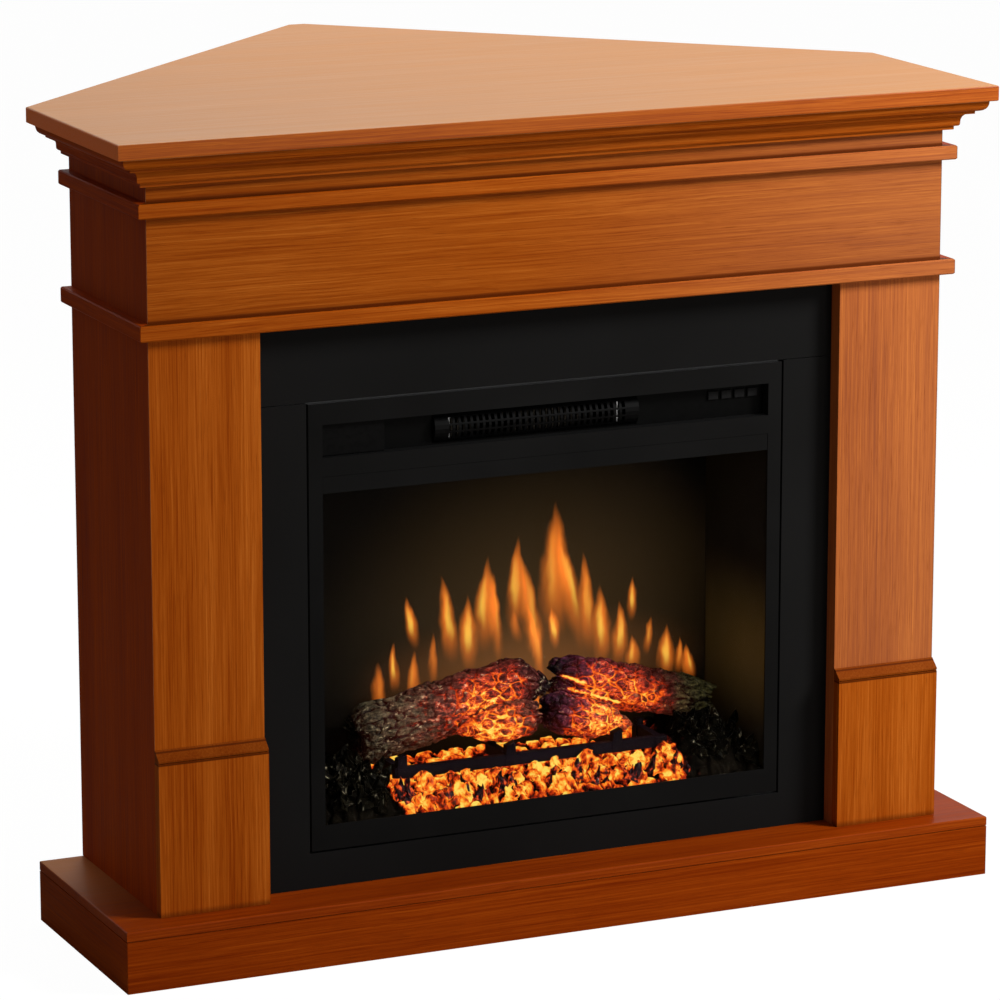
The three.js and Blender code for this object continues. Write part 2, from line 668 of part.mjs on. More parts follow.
// Case: a wrapper bent to a U with its front edge turned out behind the glass, a lid and a back.
function makeCase() {
  const wrapper = alongY([
    [-caseHalf, CASE_DROP], [caseHalf, CASE_DROP], [caseHalf, wallTop], [caseInner, wallTop],
    [caseInner, caseFloorTop], [-caseInner, caseFloorTop], [-caseInner, wallTop], [-caseHalf, wallTop],
  ], caseFront, CASE_DEPTH);
  const flangeHalf = trayHalf - FIT;
  const flangeBottom = FRAME_SHEET + FIT;
  const overlap = CASE_SHEET / 2; // of each flange into its wall
  const flangeRun = [caseFront, caseFront + CASE_SHEET];
  const flanges = [
    block([-flangeHalf, -caseHalf + overlap], flangeRun, [flangeBottom, wallTop - CASE_SHEET]),
    block([caseHalf - overlap, flangeHalf], flangeRun, [flangeBottom, wallTop - CASE_SHEET]),
    block([-caseHalf, caseHalf], flangeRun, [flangeBottom, CASE_DROP + overlap]),
  ];
  const boreRadius = SHAFT_RADIUS + SHAFT_CLEARANCE;
  const bearing = roundBar(boreRadius, -caseHalf - PAST, -caseInner + PAST, rodDepth, ROD_HEIGHT);
  place(insert, 'case_wrapper', carve([wrapper, ...flanges], [bearing]), caseSteel);

  const lid = block(
    [-caseHalf, caseHalf], [caseFront, CASE_DEPTH], [wallTop + FIT, insertHeight - CASE_DROP],
  );
  place(insert, 'case_lid', lid, caseSteel);

  const backHalf = caseInner - FIT;
  const plate = block([-backHalf, backHalf], [caseBackFront, CASE_DEPTH], [caseFloorTop + FIT, wallTop]);
  const cutters = [glandCutter()];
  const firstSlot = -INTAKE_PITCH * (INTAKE_SLOTS - 1) / 2;
  for (let i = 0; i < INTAKE_SLOTS; i += 1) {
    const x = firstSlot + i * INTAKE_PITCH;
    cutters.push(block(
      [x - INTAKE_WIDTH / 2, x + INTAKE_WIDTH / 2], [caseBackFront - PAST, CASE_DEPTH + PAST],
      [slotMiddle - INTAKE_HEIGHT / 2, slotMiddle + INTAKE_HEIGHT / 2],
    ));
  }
  place(insert, 'case_back', carve([plate], cutters), caseSteel);

  const ceiling = block(
    [-backHalf, backHalf], [caseFront + CASE_SHEET + FIT, caseBackFront - FIT], [ceilingBottom, ceilingTop],
  );
  place(insert, 'firebox_ceiling', ceiling, caseSteel);
}

function glandCutter() {
  const radius = GLAND_RADIUS + FIT;
  const cutter = new THREE.CylinderGeometry(radius, radius, CASE_SHEET + 2 * PAST, 20);
  return cutter.translate(GLAND_X, caseBackFront + CASE_SHEET / 2, GLAND_HEIGHT);
}

// Cord gland: a flanged rubber bush through the back of the case.
function makeGland() {
  const flangeRadius = GLAND_RADIUS + GLAND_FLANGE;
  const neckRadius = GLAND_RADIUS - GLAND_NECK;
  const inside = -CASE_SHEET - GLAND_FLANGE_THICKNESS;
  const flangeEnd = FIT + GLAND_FLANGE_THICKNESS;
  const outside = GLAND_LENGTH;
  const profile = [
    [GLAND_BORE_RADIUS, inside], [GLAND_RADIUS, inside], [GLAND_RADIUS, FIT], [flangeRadius, FIT],
    [flangeRadius, flangeEnd], [GLAND_RADIUS, flangeEnd], [neckRadius, outside],
    [GLAND_BORE_RADIUS, outside], [GLAND_BORE_RADIUS, inside],
  ];
  const bush = new THREE.LatheGeometry(profile.map(([r, y]) => new THREE.Vector2(r, y)), 20);
  place(insert, 'cord_gland', carve([bush]), glandRubber, [GLAND_X, CASE_DEPTH, GLAND_HEIGHT]);
}

// ------------------------------------------------------------------ electric fire: controls

const buttonLevel = slotMiddle + BUTTON_RISE;
const buttonPlaces = Array.from(
  { length: BUTTON_COUNT },
  (_, i) => windowHalf - BUTTON_MARGIN - (BUTTON_COUNT - 1 - i) * BUTTON_PITCH,
);
const stemBack = fasciaBack + STEM_LENGTH;
const switchFront = stemBack + BUTTON_TRAVEL + FIT;
const controlBoardFront = switchFront + SWITCH_DEPTH;

function makeControls() {
  const plate = block(
    [FIT - caseInner, caseInner - FIT], [fasciaFront, fasciaBack],
    [slotBottom - FASCIA_LAP, slotTop + FASCIA_LAP],
  );
  const grilleHalf = GRILLE_WIDTH / 2 + FIT;
  const cutters = [block(
    [GRILLE_CENTRE - grilleHalf, GRILLE_CENTRE + grilleHalf], [fasciaFront - PAST, fasciaBack + PAST],
    [slotBottom + GRILLE_WALL - FIT, slotTop - GRILLE_WALL + FIT],
  )];
  for (const x of buttonPlaces) {
    cutters.push(block(
      [x - BUTTON_WIDTH / 2 - FIT, x + BUTTON_WIDTH / 2 + FIT], [fasciaFront - PAST, fasciaBack + PAST],
      [buttonLevel - BUTTON_HEIGHT / 2 - FIT, buttonLevel + BUTTON_HEIGHT / 2 + FIT],
    ));
  }
  place(insert, 'control_fascia', carve([plate], cutters), blackPlastic);

  const displayLeft = -windowHalf + FIT;
  const display = easedBoard(
    [[0, 0], [DISPLAY_WIDTH, 0], [DISPLAY_WIDTH, SLOT_HEIGHT - 2 * FIT], [0, SLOT_HEIGHT - 2 * FIT]],
    0, DISPLAY_DEPTH, 1,
  );
  const upright = new THREE.Matrix4().makeBasis(X, Z, Y.clone().negate());
  display.applyMatrix4(upright);
  place(insert, 'display_cover', display, blackPlastic, [displayLeft, fasciaFront - FIT, slotBottom + FIT]);

  buttonPlaces.forEach((x, i) => {
    place(insert, `control_button_${i + 1}`, buttonGeometry(), blackPlastic, [x, 0, buttonLevel]);
  });

  place(insert, 'control_board', controlBoard(), circuitBoard);
}

// Button: an eased cap, a flange that stops behind the fascia, and a stem towards its switch.
function buttonGeometry() {
  const halfWidth = BUTTON_WIDTH / 2;
  const halfHeight = BUTTON_HEIGHT / 2;
  const outline = [
    [-halfWidth, -halfHeight], [halfWidth, -halfHeight], [halfWidth, halfHeight], [-halfWidth, halfHeight],
  ];
  const front = fasciaFront - BUTTON_STAND;
  const flangeFront = fasciaBack + FIT;
  const capBack = flangeFront + PAST;
  const cap = easedBoard(outline, 0, capBack - front, BUTTON_EASE);
  cap.applyMatrix4(new THREE.Matrix4().makeBasis(X, Z, Y.clone().negate())).translate(0, capBack, 0);
  const flange = block(
    [-halfWidth - BUTTON_FLANGE, halfWidth + BUTTON_FLANGE],
    [flangeFront, flangeFront + BUTTON_FLANGE_THICKNESS],
    [-halfHeight - BUTTON_FLANGE, halfHeight + BUTTON_FLANGE],
  );
  const stemHalf = STEM_SIZE / 2;
  const stem = block([-stemHalf, stemHalf], [flangeFront, stemBack], [-stemHalf, stemHalf]);
  return carve([cap, flange, stem]);
}

// Control board: the switches behind the buttons, and four posts that seat on the fascia's back.
function controlBoard() {
  const left = buttonPlaces[0] - BUTTON_PITCH / 2 - BOARD_MARGIN;
  const right = buttonPlaces[BUTTON_COUNT - 1] + BUTTON_PITCH / 2 + BOARD_MARGIN;
  const [low, high] = [buttonLevel - BOARD_DROP, buttonLevel + BOARD_RISE];
  const pieces = [block([left, right], [controlBoardFront, controlBoardFront + BOARD_SHEET], [low, high])];
  const seatDepth = controlBoardFront + BOARD_SEAT;
  const switchHalf = SWITCH_SIZE / 2;
  for (const x of buttonPlaces) {
    pieces.push(block(
      [x - switchHalf, x + switchHalf], [switchFront, seatDepth],
      [buttonLevel - switchHalf, buttonLevel + switchHalf],
    ));
  }
  const postHalf = POST_SIZE / 2;
  for (const x of [left + postHalf, right - postHalf]) {
    for (const z of [low + postHalf, high - postHalf]) {
      const sides = [[x - postHalf, x + postHalf], [z - postHalf, z + postHalf]];
      pieces.push(block(sides[0], [fasciaBack + FIT, seatDepth], sides[1]));
    }
  }
  return carve(pieces);
}

// ------------------------------------------------------------------ electric fire: heater

// Arc of the grille's section: bulges forward of its chord by the sagitta.
function arcPoints(radius, centreDepth, reach, steps) {
  return Array.from({ length: steps + 1 }, (_, i) => {
    const angle = -reach + (2 * reach * i) / steps;
    return [centreDepth - radius * Math.cos(angle), radius * Math.sin(angle)];
  });
}

// Outlet grille: a half-round perforated shell between two solid end blocks, flanged at its back.
function makeGrille() {
  const chordHalf = SLOT_HEIGHT / 2 - GRILLE_WALL;
  const radius = (chordHalf ** 2 + GRILLE_BULGE ** 2) / (2 * GRILLE_BULGE);
  const chordDepth = fasciaBack + FIT + GRILLE_WALL;
  const centreDepth = chordDepth - GRILLE_BULGE - GRILLE_WALL + radius;
  const outerReach = Math.acos((centreDepth - chordDepth) / radius);
  const innerReach = Math.acos((centreDepth - chordDepth) / (radius - GRILLE_WALL));
  const steps = 10;
  const outer = arcPoints(radius, centreDepth, outerReach, steps);
  const inner = arcPoints(radius - GRILLE_WALL, centreDepth, innerReach, steps);
  const half = GRILLE_WIDTH / 2;
  const openHalf = half - GRILLE_END_BLOCK;
  const flangeReach = SLOT_HEIGHT / 2 + GRILLE_FLANGE_RISE;
  const pieces = [
    alongX([...outer, ...inner.slice().reverse()], -openHalf - PAST, openHalf + PAST),
    alongX(outer, -half, -openHalf),
    alongX(outer, openHalf, half),
  ];
  const flangeHalf = half + GRILLE_FLANGE;
  const flange = block(
    [-flangeHalf, flangeHalf], [fasciaBack + FIT, chordDepth], [-flangeReach, flangeReach],
  );
  const mouthHalf = GRILLE_OPEN_HEIGHT / 2;
  const mouth = block([-openHalf, openHalf], [fasciaBack, chordDepth + PAST], [-mouthHalf, mouthHalf]);
  const cutters = [mouth];
  const columnPitch = (2 * openHalf) / GRILLE_COLUMNS;
  const rowPitch = GRILLE_OPEN_HEIGHT / GRILLE_ROWS;
  const front = chordDepth - GRILLE_BULGE - 2 * GRILLE_WALL;
  for (let column = 0; column < GRILLE_COLUMNS; column += 1) {
    const x = -openHalf + (column + 0.5) * columnPitch;
    for (let row = 0; row < GRILLE_ROWS; row += 1) {
      const z = -mouthHalf + (row + 0.5) * rowPitch;
      const [openX, openZ] = [(columnPitch - GRILLE_BAR) / 2, (rowPitch - GRILLE_RIB) / 2];
      cutters.push(block([x - openX, x + openX], [front, chordDepth + PAST], [z - openZ, z + openZ]));
    }
  }
  const grille = carve([flange, ...pieces], cutters);
  place(insert, 'heater_grille', grille, blackPlastic, [GRILLE_CENTRE, 0, slotMiddle]);
}

const ductFront = fasciaBack + FIT + GRILLE_WALL + FIT;
const ductHalf = SLOT_HEIGHT / 2;
const scrollInner = ROTOR_RADIUS + SCROLL_CLEARANCE;
const scrollOuter = scrollInner + DUCT_WALL;
const housingHalf = ROTOR_LENGTH / 2 + SCROLL_CLEARANCE;
const elementFront = ductFront + ELEMENT_GAP;

// Heating element: a finned block that fills the duct behind the grille.
function makeElement() {
  const half = ROTOR_LENGTH / 2;
  const height = ductHalf - DUCT_WALL - FIT;
  const body = block([-half, half], [elementFront, elementFront + ELEMENT_DEPTH], [-height, height]);
  const cutters = [];
  const pitch = (2 * half - FIN_THICKNESS) / ELEMENT_FINS;
  for (let i = 0; i < ELEMENT_FINS; i += 1) {
    const x = -half + FIN_THICKNESS + i * pitch;
    cutters.push(block(
      [x, x + pitch - FIN_THICKNESS], [elementFront - PAST, elementFront + ELEMENT_DEPTH + PAST],
      [FIN_THICKNESS - height, height - FIN_THICKNESS],
    ));
  }
  place(insert, 'heater_element', carve([body], cutters), elementMetal, [GRILLE_CENTRE, 0, slotMiddle]);
}

// Blower housing: a duct that opens into a scroll round the rotor, with a cheek at each end.
function makeBlower() {
  const inletStart = 0.35 * Math.PI;
  const throat = Math.asin(ductHalf / scrollOuter);
  const innerThroat = Math.asin((ductHalf - DUCT_WALL) / scrollInner);
  const steps = 9;
  const wall = (sign) => {
    const outer = [];
    const inner = [];
    for (let i = 0; i <= steps; i += 1) {
      const end = sign > 0 ? Math.PI - inletStart : Math.PI;
      const outerAngle = throat + ((end - throat) * i) / steps;
      const innerAngle = innerThroat + ((end - innerThroat) * i) / steps;
      const at = (r, a) => [ROTOR_DEPTH - r * Math.cos(a), sign * r * Math.sin(a)];
      outer.push(at(scrollOuter, outerAngle));
      inner.push(at(scrollInner, innerAngle));
    }
    return [[ductFront, sign * ductHalf], ...outer, ...inner.reverse(),
      [ductFront, sign * (ductHalf - DUCT_WALL)]];
  };
  const cheekOutline = [[ductFront, -ductHalf], [ductFront, ductHalf]];
  for (let i = 0; i <= 2 * steps; i += 1) {
    const angle = throat + ((2 * Math.PI - 2 * throat) * i) / (2 * steps);
    cheekOutline.push([ROTOR_DEPTH - scrollOuter * Math.cos(angle), scrollOuter * Math.sin(angle)]);
  }
  const full = housingHalf + DUCT_WALL;
  const pieces = [
    alongX(wall(1), -full, full),
    alongX(wall(-1), -full, full),
    alongX(cheekOutline, -full, -housingHalf),
    alongX(cheekOutline, housingHalf, full),
  ];
  const footTop = -scrollOuter + DUCT_WALL / 2;
  const footBottom = ceilingTop + FIT - slotMiddle;
  for (const side of [-1, 1]) {
    const x = side * (housingHalf - BLOWER_FOOT_INSET);
    pieces.push(block(
      [x - BLOWER_FOOT_WIDTH / 2, x + BLOWER_FOOT_WIDTH / 2],
      [ROTOR_DEPTH - BLOWER_FOOT_DEPTH / 2, ROTOR_DEPTH + BLOWER_FOOT_DEPTH / 2], [footBottom, footTop],
    ));
  }
  const bore = roundBar(SHAFT_RADIUS + SHAFT_CLEARANCE, -full - PAST, full + PAST, ROTOR_DEPTH, 0);
  place(insert, 'blower_housing', carve(pieces, [bore]), galvanised, [GRILLE_CENTRE, 0, slotMiddle]);

  place(insert, 'blower_rotor', rotorGeometry(), galvanised, [GRILLE_CENTRE, ROTOR_DEPTH, slotMiddle]);

  const boreDepth = MOTOR_BORE_SHARE * BLOWER_MOTOR_LENGTH;
  const motor = motorGeometry(BLOWER_MOTOR_RADIUS, BLOWER_MOTOR_LENGTH, boreDepth);
  const motorPlace = [GRILLE_CENTRE + full + FIT, ROTOR_DEPTH, slotMiddle];
  place(insert, 'blower_motor', motor, motorSteel, motorPlace);
}

// Rotor: curved blades between two end discs and a middle ring, turning on two stub shafts.
function rotorGeometry() {
  const half = ROTOR_LENGTH / 2 - SCROLL_CLEARANCE / 2;
  const disc = ROTOR_DISC;
  const shaftEnd = housingHalf + DUCT_WALL + FIT + SHAFT_SHARE * BLOWER_MOTOR_LENGTH;
  const pieces = [
    roundBar(ROTOR_RADIUS, -half, -half + disc, 0, 0, 28),
    roundBar(ROTOR_RADIUS, -disc / 2, disc / 2, 0, 0, 28),
    roundBar(ROTOR_RADIUS, half - disc, half, 0, 0, 28),
    roundBar(SHAFT_RADIUS, -housingHalf - DUCT_WALL, -half + disc / 2, 0, 0, 16),
    roundBar(SHAFT_RADIUS, half - disc / 2, shaftEnd, 0, 0, 16),
  ];
  const bladeSteps = 3;
  for (let i = 0; i < ROTOR_BLADES; i += 1) {
    const turn = (2 * Math.PI * i) / ROTOR_BLADES;
    const outline = [];
    for (const skin of [0, BLADE_THICKNESS]) {
      const edge = [];
      for (let step = 0; step <= bladeSteps; step += 1) {
        const along = step / bladeSteps;
        const r = ROTOR_RADIUS - BLADE_RIM - BLADE_CHORD * along;
        const sweep = turn + BLADE_SWEEP * along * (1 - BLADE_EASE * along) + skin / ROTOR_RADIUS;
        edge.push([r * Math.cos(sweep), r * Math.sin(sweep)]);
      }
      outline.push(...(skin === 0 ? edge : edge.reverse()));
    }
    pieces.push(alongX(outline, -half, half));
  }
  return carve(pieces);
}

// Motor can on the X axis, with a blind bore that takes the shaft.
function motorGeometry(radius, length, boreDepth) {
  const bore = SHAFT_RADIUS + SHAFT_CLEARANCE;
  const rim = radius - MOTOR_CHAMFER;
  const profile = [
    [0, boreDepth], [bore, boreDepth], [bore, 0], [rim, 0], [radius, MOTOR_CHAMFER],
    [radius, length - MOTOR_CHAMFER], [rim, length], [0, length],
  ];
  const can = new THREE.LatheGeometry(profile.map(([r, y]) => new THREE.Vector2(r, y)), 24);
  return carve([can.rotateZ(-Math.PI / 2)]);
}

// ------------------------------------------------------------------ electric fire: flame effect

function makeFlameEffect() {
  const screenHalf = caseInner - FIT;
  const screen = block(
    [-screenHalf, screenHalf], [FIREBOX_DEPTH, screenBack], [caseFloorTop + FIT, ceilingBottom - FIT],
  );
  place(insert, 'flame_screen', screen, screenAcrylic);

  const motorFace = caseInner - FIT - FLICKER_MOTOR_LENGTH;
  const rodStart = -caseHalf;
  const rodEnd = motorFace + FLICKER_MOTOR_LENGTH / 2;
  const pieces = [roundBar(SHAFT_RADIUS, rodStart, rodEnd, 0, 0, 16)];
  const paddleReach = rodRoom - PADDLE_CLEARANCE;
  const firstPaddle = -caseInner + PADDLE_LENGTH;
  const paddleRun = motorFace - PADDLE_LENGTH - firstPaddle;
  for (let i = 0; i < ROD_PADDLES; i += 1) {
    const x = firstPaddle + (paddleRun * i) / (ROD_PADDLES - 1);
    const paddle = block(
      [x - PADDLE_LENGTH / 2, x + PADDLE_LENGTH / 2], [-PADDLE_THICKNESS / 2, PADDLE_THICKNESS / 2],
      [-paddleReach, paddleReach],
    );
    pieces.push(paddle.rotateX((Math.PI * 2 * i) / 5));
  }
  place(insert, 'flicker_rod', carve(pieces), mirrorFoil, [0, rodDepth, ROD_HEIGHT]);

  const motorRadius = rodRoom - FLICKER_MOTOR_CLEARANCE;
  const motor = motorGeometry(motorRadius, FLICKER_MOTOR_LENGTH, FLICKER_BORE_DEPTH);
  place(insert, 'flicker_motor', motor, motorSteel, [motorFace, rodDepth, ROD_HEIGHT]);

  const ledPieces = [block(
    [-LED_BOARD_LENGTH / 2, LED_BOARD_LENGTH / 2], [-LED_BOARD_WIDTH / 2, LED_BOARD_WIDTH / 2],
    [0, BOARD_SHEET],
  )];
  const ledPitch = LED_BOARD_LENGTH / LED_COUNT;
  for (let i = 0; i < LED_COUNT; i += 1) {
    const x = -LED_BOARD_LENGTH / 2 + (i + 0.5) * ledPitch;
    ledPieces.push(block(
      [x - LED_SIZE / 2, x + LED_SIZE / 2], [-LED_SIZE / 2, LED_SIZE / 2],
      [BOARD_SHEET / 2, BOARD_SHEET + LED_RISE],
    ));
  }
  const ledDepth = (emberFront + emberBack) / 2;
  place(insert, 'led_board', carve(ledPieces), circuitBoard, [0, ledDepth, caseFloorTop + FIT]);
}

// ------------------------------------------------------------------ electric fire: fuel bed

const emberHalf = caseInner - FIT;
const emberFront = caseFront + CASE_SHEET + FIT;
const emberBack = FIREBOX_DEPTH - FIT;

// A repeatable value from -1 to 1 for each corner of a grid.
function scatter(i, j) {
  const value = Math.sin(i * 12.9898 + j * 78.233) * 43758.5453;
  return 2 * (value - Math.floor(value)) - 1;
}

// Height of the coals: low at the glass, a crest under the grate, and a mound at each side.
function emberHeight(x, y) {
  const rise = Math.min(1, (y - emberFront) / (EMBER_CREST_DEPTH - emberFront));
  const slope = EMBER_FRONT_HEIGHT + (EMBER_CREST_HEIGHT - EMBER_FRONT_HEIGHT) * rise;
  const fromSide = (emberHalf - Math.abs(x)) / EMBER_MOUND_WIDTH;
  const offTop = fromSide - EMBER_MOUND_PLACE;
  const mound = EMBER_MOUND_HEIGHT * Math.exp(-(offTop ** 2) * EMBER_MOUND_STEEPNESS) * rise;
  return slope + mound;
}

// Ember bed: a thin moulding of heaped coals, open underneath, with sockets for the grate's legs.
function makeEmberBed() {
  const columns = EMBER_COLUMNS;
  const rows = EMBER_ROWS;
  const top = [];
  for (let j = 0; j <= rows; j += 1) {
    for (let i = 0; i <= columns; i += 1) {
      const x = -emberHalf + (2 * emberHalf * i) / columns;
      const y = emberFront + ((emberBack - emberFront) * j) / rows;
      const edge = i === 0 || i === columns || j === 0 || j === rows;
      top.push(new THREE.Vector3(x, y, emberHeight(x, y) + (edge ? 0 : EMBER_LUMP * scatter(i, j))));
    }
  }
  const floorLevel = caseFloorTop + FIT;
  const positions = [...top, ...top.map((point) => new THREE.Vector3(point.x, point.y, floorLevel))];
  const width = columns + 1;
  const below = top.length;
  const index = [];
  for (let j = 0; j < rows; j += 1) {
    for (let i = 0; i < columns; i += 1) {
      const a = j * width + i;
      index.push(a, a + 1, a + width + 1, a, a + width + 1, a + width);
      index.push(below + a + width + 1, below + a + 1, below + a);
      index.push(below + a + width, below + a + width + 1, below + a);
    }
  }
  const rim = [];
  for (let i = 0; i < columns; i += 1) {
    rim.push(i);
  }
  for (let j = 0; j < rows; j += 1) {
    rim.push(j * width + columns);
  }
  for (let i = columns; i > 0; i -= 1) {
    rim.push(rows * width + i);
  }
  for (let j = rows; j > 0; j -= 1) {
    rim.push(j * width);
  }
  rim.forEach((a, k) => {
    const b = rim[(k + 1) % rim.length];
    index.push(a, below + a, below + b, a, below + b, b);
  });
  const geometry = new THREE.BufferGeometry();
  const corners = positions.flatMap((point) => point.toArray());
  geometry.setAttribute('position', new THREE.Float32BufferAttribute(corners, 3));
  geometry.setIndex(index);
  const hollowTop = EMBER_FRONT_HEIGHT - EMBER_WALL - EMBER_LUMP;
  const hollow = block(
    [-emberHalf + EMBER_WALL, emberHalf - EMBER_WALL], [emberFront + EMBER_WALL, emberBack - EMBER_WALL],
    [floorLevel - PAST, hollowTop],
  );
  const cutters = [hollow, ...grateLegs(FIT), ...grateGeometries(FIT), ...logGeometries(FIT)];
  place(insert, 'ember_bed', carve([facedOut(geometry)], cutters), emberResin);
}

const grateTop = GRATE_BOTTOM + GRATE_BAR_HEIGHT;

function grateLegs(swell) {
  const half = GRATE_LEG / 2 + swell;
  const foot = EMBER_FRONT_HEIGHT;
  const legs = [];
  for (const x of [GRATE_SPARS[0], GRATE_SPARS[GRATE_SPARS.length - 1]]) {
    for (const y of [GRATE_DEPTH + GRATE_BAR / 2, GRATE_REAR_DEPTH]) {
      legs.push(block([x - half, x + half], [y - half, y + half], [foot - swell, grateTop - PAST]));
    }
  }
  return legs;
}

// Grate: a front bar with upright prongs, spars running back, and a post under each log's seat.
function grateGeometries(swell) {
  const reach = GRATE_LENGTH / 2;
  const middle = (GRATE_SPARS[0] + GRATE_SPARS[GRATE_SPARS.length - 1]) / 2;
  const barRise = [GRATE_BOTTOM - swell, grateTop + swell];
  const frontBar = block(
    [middle - reach - swell, middle + reach + swell],
    [GRATE_DEPTH - swell, GRATE_DEPTH + GRATE_BAR + swell], barRise,
  );
  const pieces = [frontBar];
  GRATE_SPARS.forEach((x, i) => {
    const half = GRATE_BAR / 2 + swell;
    pieces.push(block([x - half, x + half], [GRATE_DEPTH, GRATE_REAR_DEPTH + half], barRise));
    pieces.push(block(
      [x - half, x + half], [GRATE_REAR_DEPTH - half, GRATE_REAR_DEPTH + half],
      [GRATE_BOTTOM, grateTop + GRATE_SPAR_POSTS[i] + swell],
    ));
    if (i < GRATE_PRONGS) {
      const lower = PRONG_WIDTH / 2 + swell;
      const upper = lower - PRONG_DRAFT;
      const prongTop = grateTop + PRONG_RISE + swell;
      const prong = alongY([
        [x - lower, GRATE_BOTTOM - swell], [x + lower, GRATE_BOTTOM - swell],
        [x + upper, prongTop], [x - upper, prongTop - PRONG_SLANT],
      ], GRATE_DEPTH - PRONG_STAND - swell, GRATE_DEPTH + GRATE_BAR + swell);
      pieces.push(prong);
    }
  });
  return pieces;
}

// A log: rings of uneven radius along a straight axis, drawn in to a blunt point at each end.
function logGeometry({ start, end, radii, taper, twist }, swell) {
  const from = new THREE.Vector3(...start);
  const axis = new THREE.Vector3(...end).sub(from);
  const length = axis.length();
  axis.normalize();
  const across = new THREE.Vector3().crossVectors(Z, axis).normalize();
  const upright = new THREE.Vector3().crossVectors(axis, across);
  const rings = [];
  const ring = (distance, radius, phase) => {
    const points = [];
    for (let i = 0; i < LOG_SIDES; i += 1) {
      const angle = (2 * Math.PI * i) / LOG_SIDES;
      const wave = Math.sin(3 * angle + twist + phase) + 0.6 * Math.sin(5 * angle - 2 * phase + twist);
      const r = radius * (1 + LOG_ROUGHNESS * wave) + swell;
      const point = from.clone().addScaledVector(axis, distance);
      point.addScaledVector(across, r * Math.cos(angle)).addScaledVector(upright, r * Math.sin(angle));
      points.push(point);
    }
    return points;
  };
  rings.push(ring(-swell, radii[0] * LOG_START_SHARE, 0));
  radii.forEach((radius, i) => {
    const along = taper + ((length - 2 * taper) * i) / (radii.length - 1);
    rings.push(ring(along, radius, i * LOG_RING_TURN));
  });
  const lastRadius = radii[radii.length - 1] * LOG_END_SHARE;
  rings.push(ring(length + swell, lastRadius, radii.length * LOG_RING_TURN));
  const outline = Array.from({ length: LOG_SIDES }, (_, i) => {
    const angle = (2 * Math.PI * i) / LOG_SIDES;
    return new THREE.Vector2(Math.cos(angle), Math.sin(angle));
  });
  return loft(rings, outline);
}

function logGeometries(swell) {
  return Object.values(LOGS).map((log) => logGeometry(log, swell));
}

// Each log is notched for the grate, and the front logs are cut to bed on those behind them.
function makeFuel() {
  place(insert, 'grate', carve([...grateGeometries(0), ...grateLegs(0)]), castIron);
  const seats = grateGeometries(FIT);
  const names = Object.keys(LOGS);
  names.forEach((name, i) => {
    const behind = names.slice(0, i).map((other) => logGeometry(LOGS[other], FIT));
    const log = carve([logGeometry(LOGS[name], 0)], [...seats, ...behind]);
    place(insert, name, log, logResin);
  });
}

makeTop();
makeBody();
makeFeet();
makeBase();
makeHiddenWood();
makeSurround();
makeFrame();
makeWindow();
makeCase();
makeGland();
makeControls();
makeGrille();
makeElement();
makeBlower();
makeFlameEffect();
makeEmberBed();
makeFuel();

export default fireplace;
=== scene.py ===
import math

import bpy
from mathutils import Euler, Matrix, Vector, noise


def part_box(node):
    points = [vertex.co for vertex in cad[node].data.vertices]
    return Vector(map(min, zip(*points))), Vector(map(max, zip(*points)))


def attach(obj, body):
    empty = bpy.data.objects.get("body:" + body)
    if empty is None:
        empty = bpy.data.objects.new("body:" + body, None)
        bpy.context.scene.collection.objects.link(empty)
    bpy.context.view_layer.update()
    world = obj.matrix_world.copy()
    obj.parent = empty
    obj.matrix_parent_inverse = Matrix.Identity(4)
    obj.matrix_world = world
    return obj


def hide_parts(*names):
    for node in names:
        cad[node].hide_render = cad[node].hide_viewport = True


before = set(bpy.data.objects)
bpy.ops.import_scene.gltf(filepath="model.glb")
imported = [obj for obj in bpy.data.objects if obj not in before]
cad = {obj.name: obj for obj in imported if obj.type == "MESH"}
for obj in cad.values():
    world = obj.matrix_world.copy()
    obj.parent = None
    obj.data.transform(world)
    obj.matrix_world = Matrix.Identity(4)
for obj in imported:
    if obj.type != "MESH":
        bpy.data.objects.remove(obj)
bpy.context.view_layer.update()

# ---------------------------------------------------------------------------------------------
# The place where the fireplace is pictured: a long lens at the left, looking slightly down, a
# pale floor that runs out of sight, a large lamp high on the right, weak ones at the front and
# above, and a dim surrounding light. What shows of the floor and the air is white.

scene = bpy.context.scene
scene.view_settings.view_transform = "Standard"

lens = bpy.data.cameras.new("camera")
lens.lens = 176.63
lens.sensor_width = 36
lens.clip_end = 100
camera = bpy.data.objects.new("camera", lens)
camera.location = (-2.298, -5.3155, 1.7717)
camera.rotation_euler = Euler((math.radians(90 - 13.099), 0, math.radians(-24.235)))
scene.collection.objects.link(camera)
scene.camera = camera


def lamp(name, place, aim, size, watts, colour):
    light = bpy.data.lights.new(name, "AREA")
    light.shape = "DISK"
    light.size = size
    light.energy = watts
    light.color = colour
    holder = bpy.data.objects.new(name, light)
    holder.location = place
    holder.rotation_euler = (Vector(aim) - Vector(place)).to_track_quat("-Z", "Y").to_euler()
    scene.collection.objects.link(holder)


lamp("lamp_high_right", (1.75, -1.65, 1.90), (0.2, -0.2, 0.55), 0.8, 76, (1.0, 0.98, 0.95))
lamp("lamp_front", (1.3, -4.0, 0.9), (0, 0, 0.6), 1.6, 24, (1.0, 0.96, 0.91))
lamp("lamp_above", (0.2, 0.9, 2.5), (0, 0.2, 0.95), 1.2, 20, (1.0, 0.96, 0.90))


